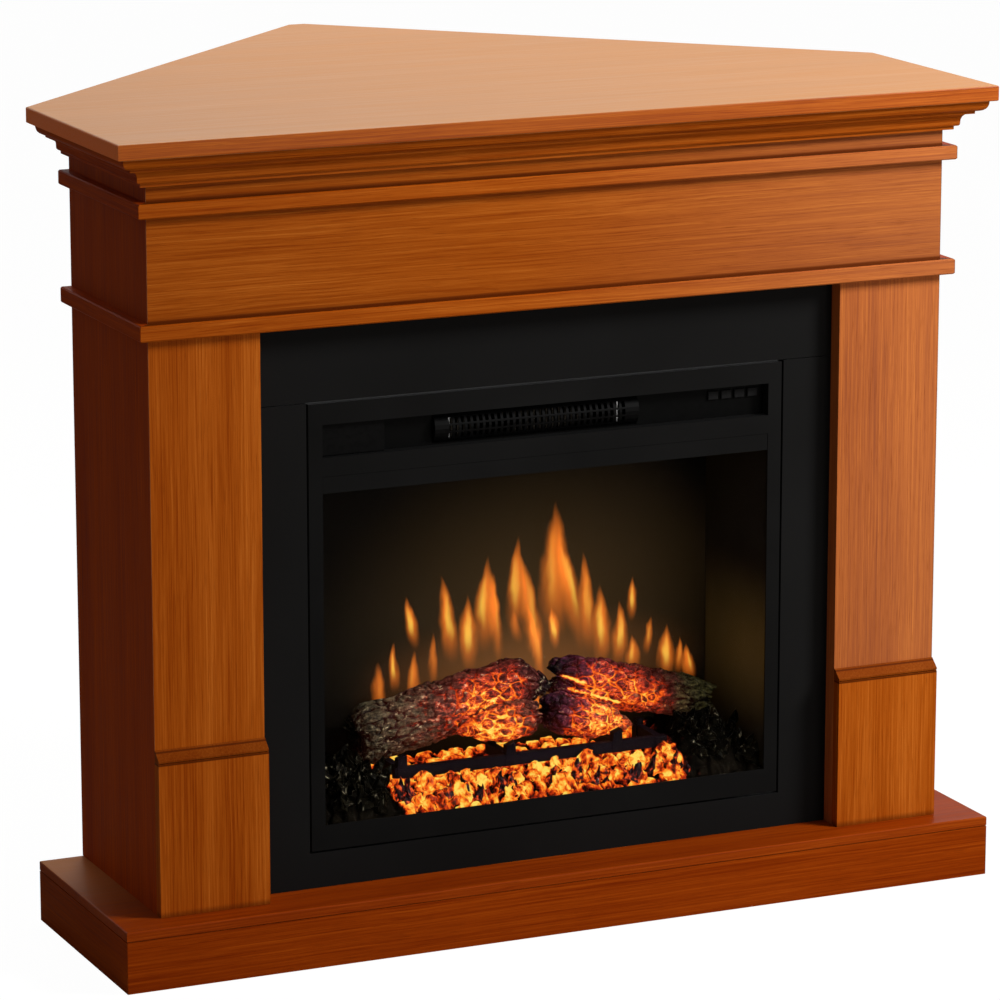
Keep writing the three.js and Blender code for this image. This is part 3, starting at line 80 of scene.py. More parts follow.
def wire(tree, kind, inputs=None, **settings):
    """A node with its settings made and its inputs filled, each from a value or from a socket."""
    made = tree.nodes.new(kind)
    for name, value in settings.items():
        setattr(made, name, value)
    for name, value in (inputs or {}).items():
        socket = made.inputs[name]
        if isinstance(value, bpy.types.NodeSocket):
            tree.links.new(value, socket)
        else:
            socket.default_value = value
    return made


air = bpy.data.worlds.new("air")
air.use_nodes = True
scene.world = air
tree = air.node_tree
tree.nodes.clear()
rays = wire(tree, "ShaderNodeLightPath")
seen = wire(tree, "ShaderNodeMath", {0: rays.outputs["Is Camera Ray"], 1: rays.outputs["Is Glossy Ray"]},
            operation="MAXIMUM")
seen = wire(tree, "ShaderNodeMath", {0: seen.outputs[0], 1: rays.outputs["Is Transmission Ray"]},
            operation="MAXIMUM")
dim = wire(tree, "ShaderNodeBackground", {"Color": (1, 0.93, 0.84, 1), "Strength": 0.13})
white = wire(tree, "ShaderNodeBackground", {"Color": (1, 1, 1, 1), "Strength": 1.04})
mixed = wire(tree, "ShaderNodeMixShader", {0: seen.outputs[0], 1: dim.outputs[0], 2: white.outputs[0]})
wire(tree, "ShaderNodeOutputWorld", {"Surface": mixed.outputs[0]})

floor_size = 12
floor_mesh = bpy.data.meshes.new("studio_floor")
floor_mesh.from_pydata(
    [(x * floor_size, y * floor_size, 0) for x, y in [(-1, -1), (1, -1), (1, 1), (-1, 1)]], [], [(0, 1, 2, 3)])
studio_floor = bpy.data.objects.new("studio_floor", floor_mesh)
scene.collection.objects.link(studio_floor)

pale_floor = bpy.data.materials.new("pale_floor")
pale_floor.use_nodes = True
tree = pale_floor.node_tree
tree.nodes.clear()
rays = wire(tree, "ShaderNodeLightPath")
matt = wire(tree, "ShaderNodeBsdfDiffuse", {"Color": (0.40, 0.36, 0.32, 1)})
bright = wire(tree, "ShaderNodeBsdfDiffuse", {"Color": (0.95, 0.95, 0.95, 1)})
lit = wire(tree, "ShaderNodeEmission", {"Color": (1, 1, 1, 1), "Strength": 1.03})
pale = wire(tree, "ShaderNodeMixShader", {0: 0.95, 1: bright.outputs[0], 2: lit.outputs[0]})
shown = wire(tree, "ShaderNodeMixShader",
             {0: rays.outputs["Is Camera Ray"], 1: matt.outputs[0], 2: pale.outputs[0]})
wire(tree, "ShaderNodeOutputMaterial", {"Surface": shown.outputs[0]})
floor_mesh.materials.append(pale_floor)

# ---------------------------------------------------------------------------------------------
# Wood of the mantel: boards and mouldings with an orange-brown cherry veneer under a satin
# lacquer. The grain runs along each piece, so the rails, bands and frieze have it level and the
# pilasters, their feet and the sides have it upright. Faces inside the mantel are left bare.

BARE_WOOD = (0.40, 0.27, 0.15, 1)


def finish(name):
    """A new material: itself, its tree, its surface shader and the place of each point on the piece."""
    material = bpy.data.materials.new(name)
    material.use_nodes = True
    tree = material.node_tree
    surface = tree.nodes["Principled BSDF"]
    place = wire(tree, "ShaderNodeTexCoord").outputs["Object"]
    return material, tree, surface, place


def stretched(tree, place, scale):
    return wire(tree, "ShaderNodeMapping", {"Vector": place, "Scale": scale}).outputs[0]


def grains(tree, place, scale, detail=2.0, rough=0.5):
    """Soft noise from 0 to 1, with so many waves to the metre along each axis."""
    spots = wire(tree, "ShaderNodeTexNoise", {
        "Vector": stretched(tree, place, scale), "Scale": 1.0, "Detail": detail, "Roughness": rough})
    return spots.outputs["Fac"]


def ramp(tree, value, stops):
    """Colours along a value, each stop a place from 0 to 1 and a colour."""
    made = wire(tree, "ShaderNodeValToRGB", {"Fac": value})
    steps = made.color_ramp.elements
    while len(steps) < len(stops):
        steps.new(0.5)
    for step, (at, colour) in zip(steps, stops):
        step.position = at
        step.color = (*colour, 1) if len(colour) == 3 else colour
    return made.outputs["Color"]


def between(tree, value, low, high, to_low=0.0, to_high=1.0, smooth=True):
    made = wire(tree, "ShaderNodeMapRange", {
        "Value": value, "From Min": low, "From Max": high, "To Min": to_low, "To Max": to_high},
        interpolation_type="SMOOTHSTEP" if smooth else "LINEAR")
    return made.outputs["Result"]


def blended(tree, share, first, second, kind="MIX"):
    made = wire(tree, "ShaderNodeMix", {0: share, 6: first, 7: second}, data_type="RGBA", blend_type=kind)
    return made.outputs[2]


def maths(tree, kind, first, second=0.0):
    return wire(tree, "ShaderNodeMath", {0: first, 1: second}, operation=kind).outputs[0]


def bumped(tree, surface, height, depth, strength=1.0):
    bump = wire(tree, "ShaderNodeBump", {"Height": height, "Distance": depth, "Strength": strength})
    tree.links.new(bump.outputs[0], surface.inputs["Normal"])


def facing(tree, direction):
    """How far a face looks in a direction, 1 when straight at it."""
    normal = wire(tree, "ShaderNodeNewGeometry").outputs["True Normal"]
    made = wire(tree, "ShaderNodeVectorMath", {0: normal, 1: direction}, operation="DOT_PRODUCT")
    return made.outputs["Value"]


def veneer(name, grain, bare=None, shine=0.02, painted_lit_top=False, colour_scale=None, painted_shade=None,
           painted_sheen=False):
    """Veneer with its grain along one axis, bare board where it faces one way, and painted shade in its grooves."""
    material, tree, surface, place = finish(name)
    on_piece = place

    def along(run, across):
        return tuple(run if axis == grain else across for axis in "xyz")

    drift = grains(tree, place, along(4, 10), 2)
    aside = wire(tree, "ShaderNodeVectorMath", {
        0: tuple(0.0 if axis == grain else 0.006 for axis in "xyz"), "Scale": drift}, operation="SCALE")
    place = wire(tree, "ShaderNodeVectorMath", {0: place, 1: aside.outputs[0]}, operation="ADD").outputs[0]
    broad = grains(tree, place, along(0.9, 22), 3)
    streak = grains(tree, place, along(4, 420), 4, 0.6)
    hair = grains(tree, place, along(8, 1000), 3, 0.6)
    pore = grains(tree, place, along(30, 1500), 2, 0.5)
    tone = maths(tree, "ADD", maths(tree, "MULTIPLY", broad, 0.28), maths(tree, "MULTIPLY", streak, 0.42))
    tone = maths(tree, "ADD", tone, maths(tree, "MULTIPLY", hair, 0.30))
    colour = ramp(tree, tone, [
        (0.37, (0.245, 0.038, 0.0012)), (0.46, (0.345, 0.069, 0.0034)),
        (0.54, (0.425, 0.097, 0.0070)), (0.64, (0.550, 0.150, 0.0160))])
    # Painted sheen: the colour grows paler towards the right, as the lamp's reflection in the lacquer would make it.
    if painted_sheen:
        right = wire(tree, "ShaderNodeSeparateXYZ", {0: on_piece}).outputs["X"]
        colour = blended(tree, between(tree, right, -0.1, 0.55, 0, 0.10), colour, (0.66, 0.46, 0.30, 1))
    colour = blended(tree, between(tree, pore, 0.56, 0.74, 0, 0.5), colour, (0.17, 0.028, 0.0015, 1))
    if colour_scale:
        colour = blended(tree, 1.0, colour, (*colour_scale, 1), "MULTIPLY")
    # Painted shade: where the mask says, the veneer darkens as it would in the shade of grooves, ledges and joints.
    if painted_shade:
        colour = blended(tree, painted_shade(tree, on_piece), colour, (0.085, 0.014, 0.0012, 1))
    # Painted light: a face that looks up is paler where the room's light falls, and one that looks left is bright
    # orange where light from the left falls.
    if painted_lit_top:
        level = between(tree, facing(tree, (0, 0, 1)), 0.7, 0.9)
        pale = blended(tree, 0.22, (0.585, 0.275, 0.088, 1), colour)
        colour = blended(tree, level, colour, pale)
        painted_lit_left_end = between(tree, facing(tree, (-1, 0, 0)), 0.7, 0.9)
        colour = blended(tree, painted_lit_left_end, colour, (0.85, 0.17, 0.008, 1))
    if bare:
        inside = between(tree, facing(tree, bare), 0.6, 0.8)
        board = ramp(tree, grains(tree, place, (240, 240, 240), 3), [
            (0.3, (0.30, 0.19, 0.10)), (0.7, BARE_WOOD[:3])])
        colour = blended(tree, inside, colour, board)
    tree.links.new(colour, surface.inputs["Base Color"])
    tree.links.new(between(tree, streak, 0.3, 0.7, 0.36, 0.5), surface.inputs["Roughness"])
    surface.inputs["Specular IOR Level"].default_value = shine
    bumped(tree, surface, maths(tree, "SUBTRACT", hair, maths(tree, "MULTIPLY", pore, 0.6)), 0.0002, 0.3)
    return material


def dress(material, slot, *names):
    for name in names:
        node = cad[name]
        node.data.materials.clear()
        node.data.materials.append(material)


def ledge(tree, place):
    """Where a face looks up: painted shade on the tops of the bands, which lie in shadow under what overhangs them."""
    return between(tree, facing(tree, (0, 0, 1)), 0.75, 0.95, 0, 0.9)


def over_bands(tree, place):
    """The lowest strip of the frieze and of the neck, where the painted shade on the bands' tops reaches up."""
    height = wire(tree, "ShaderNodeSeparateXYZ", {0: place}).outputs["Z"]
    shade = 0.0
    for band in ("lower_band_front", "upper_band_front"):
        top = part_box(band)[1].z
        near = maths(tree, "ABSOLUTE", maths(tree, "SUBTRACT", height, top))
        shade = maths(tree, "MAXIMUM", shade, between(tree, near, 0.0040, 0.0008, 0, 0.85))
    return shade


foot_low, foot_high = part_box("pilaster_foot_left")
CAP_HEIGHT = 0.0155
CAP_LINES = (0.0010, 0.0135)
# How far below the cap the foot's painted shadow begins.
CAP_TO_FOOT_SHADOW = foot_high.z - foot_low.z - CAP_HEIGHT - 0.008


def cap(tree, place):
    """The moulded cap of a foot made darker, with a dark line at its lower and upper edges, and painted shadow at the
    foot's bottom.
    """
    up = maths(tree, "SUBTRACT", wire(tree, "ShaderNodeSeparateXYZ", {0: place}).outputs["Z"],
               foot_high.z - CAP_HEIGHT)
    shade = between(tree, up, -0.0004, 0.0004, 0, 0.58)
    # Painted shadow: the lowest few millimetres of the foot darken, where it stands on the base.
    shade = maths(tree, "MAXIMUM", shade, between(tree, up, -CAP_TO_FOOT_SHADOW, -CAP_TO_FOOT_SHADOW - 0.007, 0, 0.6))
    for level in CAP_LINES:
        off = maths(tree, "ABSOLUTE", maths(tree, "SUBTRACT", up, level))
        shade = maths(tree, "MAXIMUM", shade, between(tree, off, 0.0018, 0.0005, 0, 0.95))
    return shade


# The pieces of the base are made darker than the rest of the veneer.
BASE_DARKER = (0.68, 0.44, 0.20)
# Painted shade: the pieces that face sideways get a deeper, redder copy of the veneer, as the sides look in shadow.
SIDE_PAINTED_SHADE = (0.92, 0.55, 0.20)
dress(veneer("veneer_frieze", "x", (0, 1, 0), colour_scale=(0.88, 0.88, 0.84), painted_shade=over_bands, painted_sheen=True),
      "veneer", "frieze_board")
dress(veneer("veneer_crown", "x", (0, 1, 0)), "veneer", "crown_moulding_front")
dress(veneer("veneer_bands", "x", painted_shade=ledge, painted_sheen=True), "veneer", "upper_band_front", "lower_band_front")
dress(veneer("veneer_base_level", "x", (0, 1, 0), colour_scale=BASE_DARKER), "veneer", "base_front_rail",
      "base_back_rail")
base_veneer = veneer("veneer_base_board", "x", (0, 0, -1), 0.04, colour_scale=BASE_DARKER)
dress(base_veneer, "veneer", "base_board")
tree = base_veneer.node_tree
surface = tree.nodes["Principled BSDF"]
veneer_colour = surface.inputs["Base Color"].links[0].from_socket
axes = wire(tree, "ShaderNodeSeparateXYZ", {0: wire(tree, "ShaderNodeTexCoord").outputs["Object"]})
base_low, base_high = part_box("base_board")
# Painted light: the rear of the base board's left end is paler on top, where light from the left falls on it.
painted_light_patch = maths(tree, "MULTIPLY", between(tree, axes.outputs["X"], base_low.x + 0.13, base_low.x + 0.01),
              between(tree, axes.outputs["Y"], base_high.y - 0.26, base_high.y))
painted_light_patch = maths(tree, "MULTIPLY", painted_light_patch, between(tree, facing(tree, (0, 0, 1)), 0.7, 0.9))
tree.links.new(blended(tree, painted_light_patch, veneer_colour, (0.62, 0.24, 0.075, 1)), surface.inputs["Base Color"])
dress(veneer("veneer_sideways", "y", colour_scale=SIDE_PAINTED_SHADE), "veneer", "upper_band_left", "upper_band_right",
      "lower_band_left", "lower_band_right", "crown_moulding_left", "crown_moulding_right")
dress(veneer("veneer_base_sideways", "y", colour_scale=BASE_DARKER), "veneer", "base_left_rail", "base_right_rail")
dress(veneer("veneer_left_side", "z", (1, 0, 0), colour_scale=SIDE_PAINTED_SHADE), "veneer", "side_panel_left")
dress(veneer("veneer_right_side", "z", (-1, 0, 0), colour_scale=SIDE_PAINTED_SHADE), "veneer", "side_panel_right")
dress(veneer("veneer_upright", "z", (0, 1, 0), painted_sheen=True), "veneer", "pilaster_left", "pilaster_right")
dress(veneer("veneer_feet", "z", (0, 1, 0), painted_shade=cap), "veneer", "pilaster_foot_left", "pilaster_foot_right")

# Top board: the same veneer with the grain along the front, with painted light: its upper face
# paler where the room's light falls, its left end bright orange. Its lacquer is the glossiest of all.
dress(veneer("top_board_veneer", "x", (0, 0, -1), 0.12, True), "top_veneer", "top_panel")

# ---------------------------------------------------------------------------------------------
# Hidden wood: the rail across the open back, the battens under the corner of the top and the two
# bearers that the electric fire stands on. Sawn pine, bare, with the saw's marks across it.


def pine(name, grain):
    material, tree, surface, place = finish(name)
    scale = tuple(6 if axis == grain else 130 for axis in "xyz")
    rings = grains(tree, place, scale, 4, 0.6)
    colour = ramp(tree, rings, [(0.3, (0.30, 0.17, 0.075)), (0.5, (0.46, 0.30, 0.15)), (0.7, (0.56, 0.40, 0.22))])
    tree.links.new(colour, surface.inputs["Base Color"])
    surface.inputs["Roughness"].default_value = 0.8
    marks = grains(tree, place, tuple(900 if axis == grain else 60 for axis in "xyz"), 1)
    bumped(tree, surface, maths(tree, "ADD", rings, marks), 0.0004, 0.5)
    return material


dress(pine("pine_level", "x"), "raw_board", "rear_top_rail")
dress(pine("pine_deep", "y"), "raw_board", "corner_batten_left", "corner_batten_right",
      "case_bearer_left", "case_bearer_right")

# ---------------------------------------------------------------------------------------------
# Black surround: two fibreboards, one above the fire and one cut to a U round it, sprayed matt
# black at the front. The back shows the bare brown board.

material, tree, surface, place = finish("black_painted_board")
spray = grains(tree, place, (900, 900, 900), 2)
cloud = grains(tree, place, (5, 5, 5), 2)
paint = ramp(tree, cloud, [(0.3, (0.0068, 0.0068, 0.0069)), (0.7, (0.0088, 0.0088, 0.0090))])
back_of_board = between(tree, facing(tree, (0, 1, 0)), 0.6, 0.8)
tree.links.new(blended(tree, back_of_board, paint, (0.20, 0.12, 0.06, 1)), surface.inputs["Base Color"])
tree.links.new(between(tree, spray, 0.3, 0.7, 0.42, 0.55), surface.inputs["Roughness"])
surface.inputs["Specular IOR Level"].default_value = 0.02
bumped(tree, surface, spray, 0.0002, 0.25)
dress(material, "black_board", "surround_header", "surround_panel")

# ---------------------------------------------------------------------------------------------
# Front of the electric fire: a steel tray folded from 2 mm sheet with the control slot and the
# window cut in it, and a strip over the glass. Powder-coated black, so its skin is finely pebbled.


def powder_coat(name, tone, shine):
    material, tree, surface, place = finish(name)
    pebbles = grains(tree, place, (1400, 1400, 1400), 2)
    cloud = grains(tree, place, (7, 7, 7), 2)
    colour = ramp(tree, cloud, [(0.3, tuple(c * 0.8 for c in tone)), (0.7, tuple(c * 1.2 for c in tone))])
    tree.links.new(colour, surface.inputs["Base Color"])
    tree.links.new(between(tree, pebbles, 0.3, 0.7, 0.38, 0.55), surface.inputs["Roughness"])
    surface.inputs["Specular IOR Level"].default_value = shine
    bumped(tree, surface, pebbles, 0.00015, 0.4)
    return material


dress(powder_coat("black_powder_coat", (0.0062, 0.0062, 0.0063), 0.02), "black_steel",
      "insert_front_frame", "glass_trim")

# ---------------------------------------------------------------------------------------------
# Case of the electric fire: a steel wrapper, lid, back and firebox ceiling, grey-black inside and
# out. The flames' light on the wrapper's side walls is painted in as a dull olive glow, strongest half way up.

front_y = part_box("insert_front_frame")[0].y
foot_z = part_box("insert_front_frame")[0].z
screen_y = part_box("flame_screen")[0].y

material, tree, surface, place = finish("case_steel_lit")
pebbles = grains(tree, place, (900, 900, 900), 2)
tree.links.new(ramp(tree, grains(tree, place, (30, 30, 30), 3), [
    (0.3, (0.004, 0.004, 0.004)), (0.7, (0.008, 0.007, 0.006))]), surface.inputs["Base Color"])
surface.inputs["Roughness"].default_value = 0.5
surface.inputs["Specular IOR Level"].default_value = 0.02
bumped(tree, surface, pebbles, 0.0002, 0.3)
axes = wire(tree, "ShaderNodeSeparateXYZ", {0: place})
# Painted light: the inner side walls near the screen glow a dull olive, for the flames' light on them.
inward = between(tree, facing(tree, (-1, 0, 0)), 0.8, 0.95)
in_room = between(tree, axes.outputs["Y"], screen_y - 0.001, screen_y - 0.004)
up = between(tree, axes.outputs["Z"], 0.17, 0.28)
down = between(tree, axes.outputs["Z"], 0.40, 0.28)
forward = between(tree, axes.outputs["Y"], -0.20, -0.30, 0.55, 1.0)
lit_share = inward
for part in (in_room, up, down, forward):
    lit_share = maths(tree, "MULTIPLY", lit_share, part)
tree.links.new(blended(tree, lit_share, (0.0008, 0.0003, 0, 1), (0.026, 0.0130, 0.0022, 1)),
               surface.inputs["Emission Color"])
surface.inputs["Emission Strength"].default_value = 1.0
dress(material, "case_steel", "case_wrapper")
dress(powder_coat("case_steel_plain", (0.016, 0.0155, 0.015), 0.06), "case_steel",
      "case_lid", "case_back", "firebox_ceiling")

# ---------------------------------------------------------------------------------------------
# Cord gland in the back of the case: a ribbed grommet of soft black rubber, dusty on its ribs.

material, tree, surface, place = finish("gland_rubber")
dust = grains(tree, place, (700, 700, 700), 3)
tree.links.new(ramp(tree, dust, [(0.35, (0.006, 0.006, 0.006)), (0.75, (0.03, 0.028, 0.026))]),
               surface.inputs["Base Color"])
surface.inputs["Roughness"].default_value = 0.75
bumped(tree, surface, dust, 0.0002, 0.4)
dress(material, "gland_rubber", "cord_gland")

# ---------------------------------------------------------------------------------------------
# Screws of the case: zinc-plated, self-tapping, with a hexagon head on a pressed washer. A row
# goes through the rim of the back, and two rows through the lid into the walls below it.


def piece(name, points, faces, smooth=True):
    """A mesh piece with its place in its mesh."""
    mesh = bpy.data.meshes.new(name)
    mesh.from_pydata([tuple(p) for p in points], [], faces)
    mesh.polygons.foreach_set("use_smooth", [smooth] * len(mesh.polygons))
    mesh.update()
    made = bpy.data.objects.new(name, mesh)
    scene.collection.objects.link(made)
    return made


def grown(ground, tree, **sizes):
    """The plain mesh piece that a tree of geometry nodes makes from the given one, which is used up."""
    work = ground.modifiers.new(tree.name, "NODES")
    work.node_group = tree
    sockets = {s.name: s.identifier for s in tree.interface.items_tree if s.in_out == "INPUT"}
    for label, value in sizes.items():
        work[sockets[label.replace("_", " ").capitalize()]] = value
    mesh = bpy.data.meshes.new_from_object(ground.evaluated_get(bpy.context.evaluated_depsgraph_get()))
    name = ground.name
    bpy.data.objects.remove(ground)
    mesh.name = name
    made = bpy.data.objects.new(name, mesh)
    scene.collection.objects.link(made)
    return made


def start_tree(name, *sizes):
    """Geometry nodes with an input for the mesh and one for each size, and one output."""
    tree = bpy.data.node_groups.new(name, "GeometryNodeTree")
    tree.interface.new_socket("Ground", in_out="INPUT", socket_type="NodeSocketGeometry")
    for label in sizes:
        kind = {"Seed": "NodeSocketInt", "Direction": "NodeSocketVector"}.get(label, "NodeSocketFloat")
        tree.interface.new_socket(label, in_out="INPUT", socket_type=kind)
    tree.interface.new_socket("Made", in_out="OUTPUT", socket_type="NodeSocketGeometry")
    return tree, tree.nodes.new("NodeGroupInput").outputs


def screw_tree(material):
    """Geometry nodes that set a hexagon head on its washer at each point, standing in one direction."""
    tree, given = start_tree("screw_heads", "Head width", "Head height", "Direction")
    radius = maths(tree, "MULTIPLY", given["Head width"], 0.5)
    height = given["Head height"]
    head = wire(tree, "GeometryNodeMeshCylinder", {"Vertices": 6, "Radius": radius, "Depth": height})
    wide = maths(tree, "MULTIPLY", radius, 1.45)
    thin = maths(tree, "MULTIPLY", height, 0.3)
    washer = wire(tree, "GeometryNodeMeshCone", {
        "Vertices": 20, "Radius Top": maths(tree, "MULTIPLY", wide, 0.9), "Radius Bottom": wide, "Depth": thin})
    lift = wire(tree, "ShaderNodeCombineXYZ", {"Z": maths(tree, "MULTIPLY", height, 0.5)})
    raised = wire(tree, "GeometryNodeTransform", {"Geometry": head.outputs[0], "Translation": lift.outputs[0]})
    both = wire(tree, "GeometryNodeJoinGeometry")
    tree.links.new(washer.outputs["Mesh"], both.inputs[0])
    tree.links.new(raised.outputs[0], both.inputs[0])
    stand = wire(tree, "FunctionNodeAlignEulerToVector", {"Vector": given["Direction"]}, axis="Z")
    placed = wire(tree, "GeometryNodeInstanceOnPoints", {
        "Points": given["Ground"], "Instance": both.outputs[0], "Rotation": stand.outputs[0]})
    real = wire(tree, "GeometryNodeRealizeInstances", {"Geometry": placed.outputs[0]})
    plated = wire(tree, "GeometryNodeSetMaterial", {"Geometry": real.outputs[0], "Material": material})
    wire(tree, "NodeGroupOutput", {"Made": plated.outputs[0]})
    return tree


zinc, tree, surface, place = finish("zinc_plate")
bloom = grains(tree, place, (500, 500, 500), 3)
tree.links.new(ramp(tree, bloom, [(0.3, (0.32, 0.32, 0.31)), (0.7, (0.50, 0.50, 0.48))]), surface.inputs["Base Color"])
surface.inputs["Metallic"].default_value = 1.0
surface.inputs["Roughness"].default_value = 0.35
HEAD_WIDTH = 0.0055
HEAD_HEIGHT = 0.0022
screw_heads = screw_tree(zinc)


def screws(name, spots, direction):
    made = grown(piece(name, spots, []), screw_heads, head_width=HEAD_WIDTH, head_height=HEAD_HEIGHT,
                 direction=direction)
    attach(made, "root")


low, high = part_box("case_back")
rim = 0.009
across_back = [low.x + rim + (high.x - low.x - 2 * rim) * i / 4 for i in range(5)]
spots = [Vector((x, high.y + 0.0002, z)) for x in across_back for z in (low.z + rim, high.z - rim)]
screws("case_back_screws", spots, (0.0, 1.0, 0.0))
low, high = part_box("case_lid")
along_lid = [low.y + 0.03 + (high.y - low.y - 0.06) * i / 2 for i in range(3)]
spots = [Vector((x, y, high.z + 0.0002)) for y in along_lid for x in (low.x + 0.006, high.x - 0.006)]
screws("case_lid_screws", spots, (0.0, 0.0, 1.0))

# ---------------------------------------------------------------------------------------------
# Controls behind the slot: the fascia that closes it, a dark cover over the display, four push
# buttons and the board that they work on. Black plastic, the caps worn a little paler than the rest.


def plastic(name, dark, pale, rough, shine=0.3):
    material, tree, surface, place = finish(name)
    rub = grains(tree, place, (160, 160, 160), 4)
    tree.links.new(ramp(tree, rub, [(0.3, dark), (0.7, pale)]), surface.inputs["Base Color"])
    tree.links.new(between(tree, rub, 0.3, 0.7, rough - 0.06, rough + 0.06), surface.inputs["Roughness"])
    surface.inputs["Specular IOR Level"].default_value = shine
    bumped(tree, surface, grains(tree, place, (2200, 2200, 2200), 1), 0.0001, 0.3)
    return material


dress(plastic("fascia_plastic", (0.0010, 0.0010, 0.0010), (0.0016, 0.0016, 0.0016), 0.5, 0.03),
      "black_plastic", "control_fascia")
dress(plastic("display_plastic", (0.0034, 0.0034, 0.0035), (0.0042, 0.0042, 0.0043), 0.3, 0.02),
      "black_plastic", "display_cover")
dress(plastic("button_rubber", (0.0060, 0.0060, 0.0064), (0.0095, 0.0095, 0.0100), 0.6, 0.04),
      "black_plastic", "control_button_1", "control_button_2", "control_button_3", "control_button_4")

material, tree, surface, place = finish("green_circuit_board")
cells = wire(tree, "ShaderNodeTexVoronoi", {"Vector": place, "Scale": 260.0}, distance="MANHATTAN")
tracks = ramp(tree, cells.outputs["Distance"], [(0.2, (0.012, 0.075, 0.022)), (0.6, (0.03, 0.16, 0.05))])
tree.links.new(tracks, surface.inputs["Base Color"])
surface.inputs["Roughness"].default_value = 0.4
dress(material, "circuit_board", "control_board", "led_board")

# ---------------------------------------------------------------------------------------------
# Fan heater behind the slot: a half-round outlet grille between two end blocks, a finned element,
# and a blower with its scroll, its rotor of curved blades and its motor.

dress(plastic("grille_plastic", (0.0016, 0.0016, 0.0017), (0.0032, 0.0032, 0.0034), 0.45, 0.03),
      "black_plastic", "heater_grille")


def sheet_metal(name, dark, pale, rough, flecks=60):
    material, tree, surface, place = finish(name)
    cells = wire(tree, "ShaderNodeTexVoronoi", {"Vector": place, "Scale": float(flecks)})
    tree.links.new(ramp(tree, cells.outputs["Color"], [(0.2, dark), (0.8, pale)]), surface.inputs["Base Color"])
    brushed = grains(tree, place, (20, 900, 900), 2)
    tree.links.new(between(tree, brushed, 0.3, 0.7, rough - 0.08, rough + 0.08), surface.inputs["Roughness"])
    surface.inputs["Metallic"].default_value = 1.0
    return material


dress(sheet_metal("galvanised_sheet", (0.30, 0.31, 0.32), (0.48, 0.49, 0.50), 0.42), "galvanised",
      "blower_housing", "blower_rotor")
dress(sheet_metal("element_metal", (0.020, 0.017, 0.014), (0.040, 0.034, 0.027), 0.6, 200), "element_metal",
      "heater_element")
dress(sheet_metal("motor_steel", (0.07, 0.07, 0.075), (0.11, 0.11, 0.12), 0.45, 150), "motor_steel",
      "blower_motor", "flicker_motor")

# ---------------------------------------------------------------------------------------------
# Flame effect: a rod of mirror foil turns in front of the LEDs and throws moving tongues of light
# on the back of a smoked acrylic screen. What shows is the picture on the screen: some two dozen
# soft tongues with yellow hearts and orange edges, over a dull brown glow.

dress(sheet_metal("mirror_foil", (0.70, 0.71, 0.72), (0.85, 0.86, 0.87), 0.12, 300), "mirror_foil",
      "flicker_rod")

# Foot x, foot z, tip x, tip z, width, strength of the heart, side of the heart, brightness
FLAMES = [
    (-0.098, 0.288, -0.107, 0.360, 0.0118, 1.0, -0.2, 1.0),
    (-0.049, 0.264, -0.063, 0.382, 0.0160, 0.9, 0.3, 1.0),
    (-0.028, 0.252, -0.031, 0.355, 0.0180, 1.0, 0.1, 1.0),
    (-0.009, 0.272, -0.003, 0.399, 0.0215, 1.0, -0.5, 1.0),
    (0.011, 0.256, 0.000, 0.378, 0.0118, 0.35, 0.3, 0.8),
    (0.031, 0.287, 0.036, 0.420, 0.0196, 0.8, -0.4, 0.95),
    (0.064, 0.246, 0.039, 0.401, 0.0171, 0.5, 0.5, 0.95),
    (0.069, 0.223, 0.048, 0.336, 0.0118, 0.4, 0.0, 0.75),
    (0.084, 0.272, 0.084, 0.458, 0.0300, 0.40, -0.5, 1.0),
    (0.122, 0.256, 0.086, 0.432, 0.0190, 1.0, 0.3, 0.85),
    (0.085, 0.268, 0.079, 0.328, 0.0118, 1.0, -0.1, 1.0),
    (0.131, 0.256, 0.120, 0.393, 0.0146, 0.4, 0.2, 0.95),
    (0.148, 0.240, 0.142, 0.349, 0.0180, 1.0, -0.3, 1.0),
    (0.169, 0.238, 0.169, 0.327, 0.0147, 0.9, 0.0, 0.95),
    (0.185, 0.293, 0.187, 0.354, 0.0107, 1.0, -0.1, 0.95),
    (0.187, 0.230, 0.187, 0.282, 0.0147, 0.7, -0.2, 0.9),
    (0.205, 0.249, 0.208, 0.302, 0.0080, 0.7, 0.0, 0.7),
    (0.231, 0.214, 0.231, 0.291, 0.0162, 0.9, -0.1, 1.0),
    (0.248, 0.221, 0.249, 0.273, 0.0094, 0.3, 0.0, 0.8),
    (0.265, 0.211, 0.258, 0.263, 0.0136, 0.8, 0.5, 0.95),
    (-0.141, 0.206, -0.147, 0.284, 0.0135, 0.2, 0.0, 0.70),
    (-0.124, 0.240, -0.126, 0.306, 0.0095, 1.0, 0.1, 0.95),
    (-0.100, 0.220, -0.100, 0.294, 0.0125, 0.4, -0.4, 0.80),
    (-0.075, 0.238, -0.076, 0.313, 0.0090, 0.2, 0.0, 0.6),
    (0.038, 0.282, 0.027, 0.329, 0.0118, 0.3, 0.0, 0.45),
    (0.063, 0.184, 0.057, 0.225, 0.0132, 0.2, 0.0, 0.8),
]


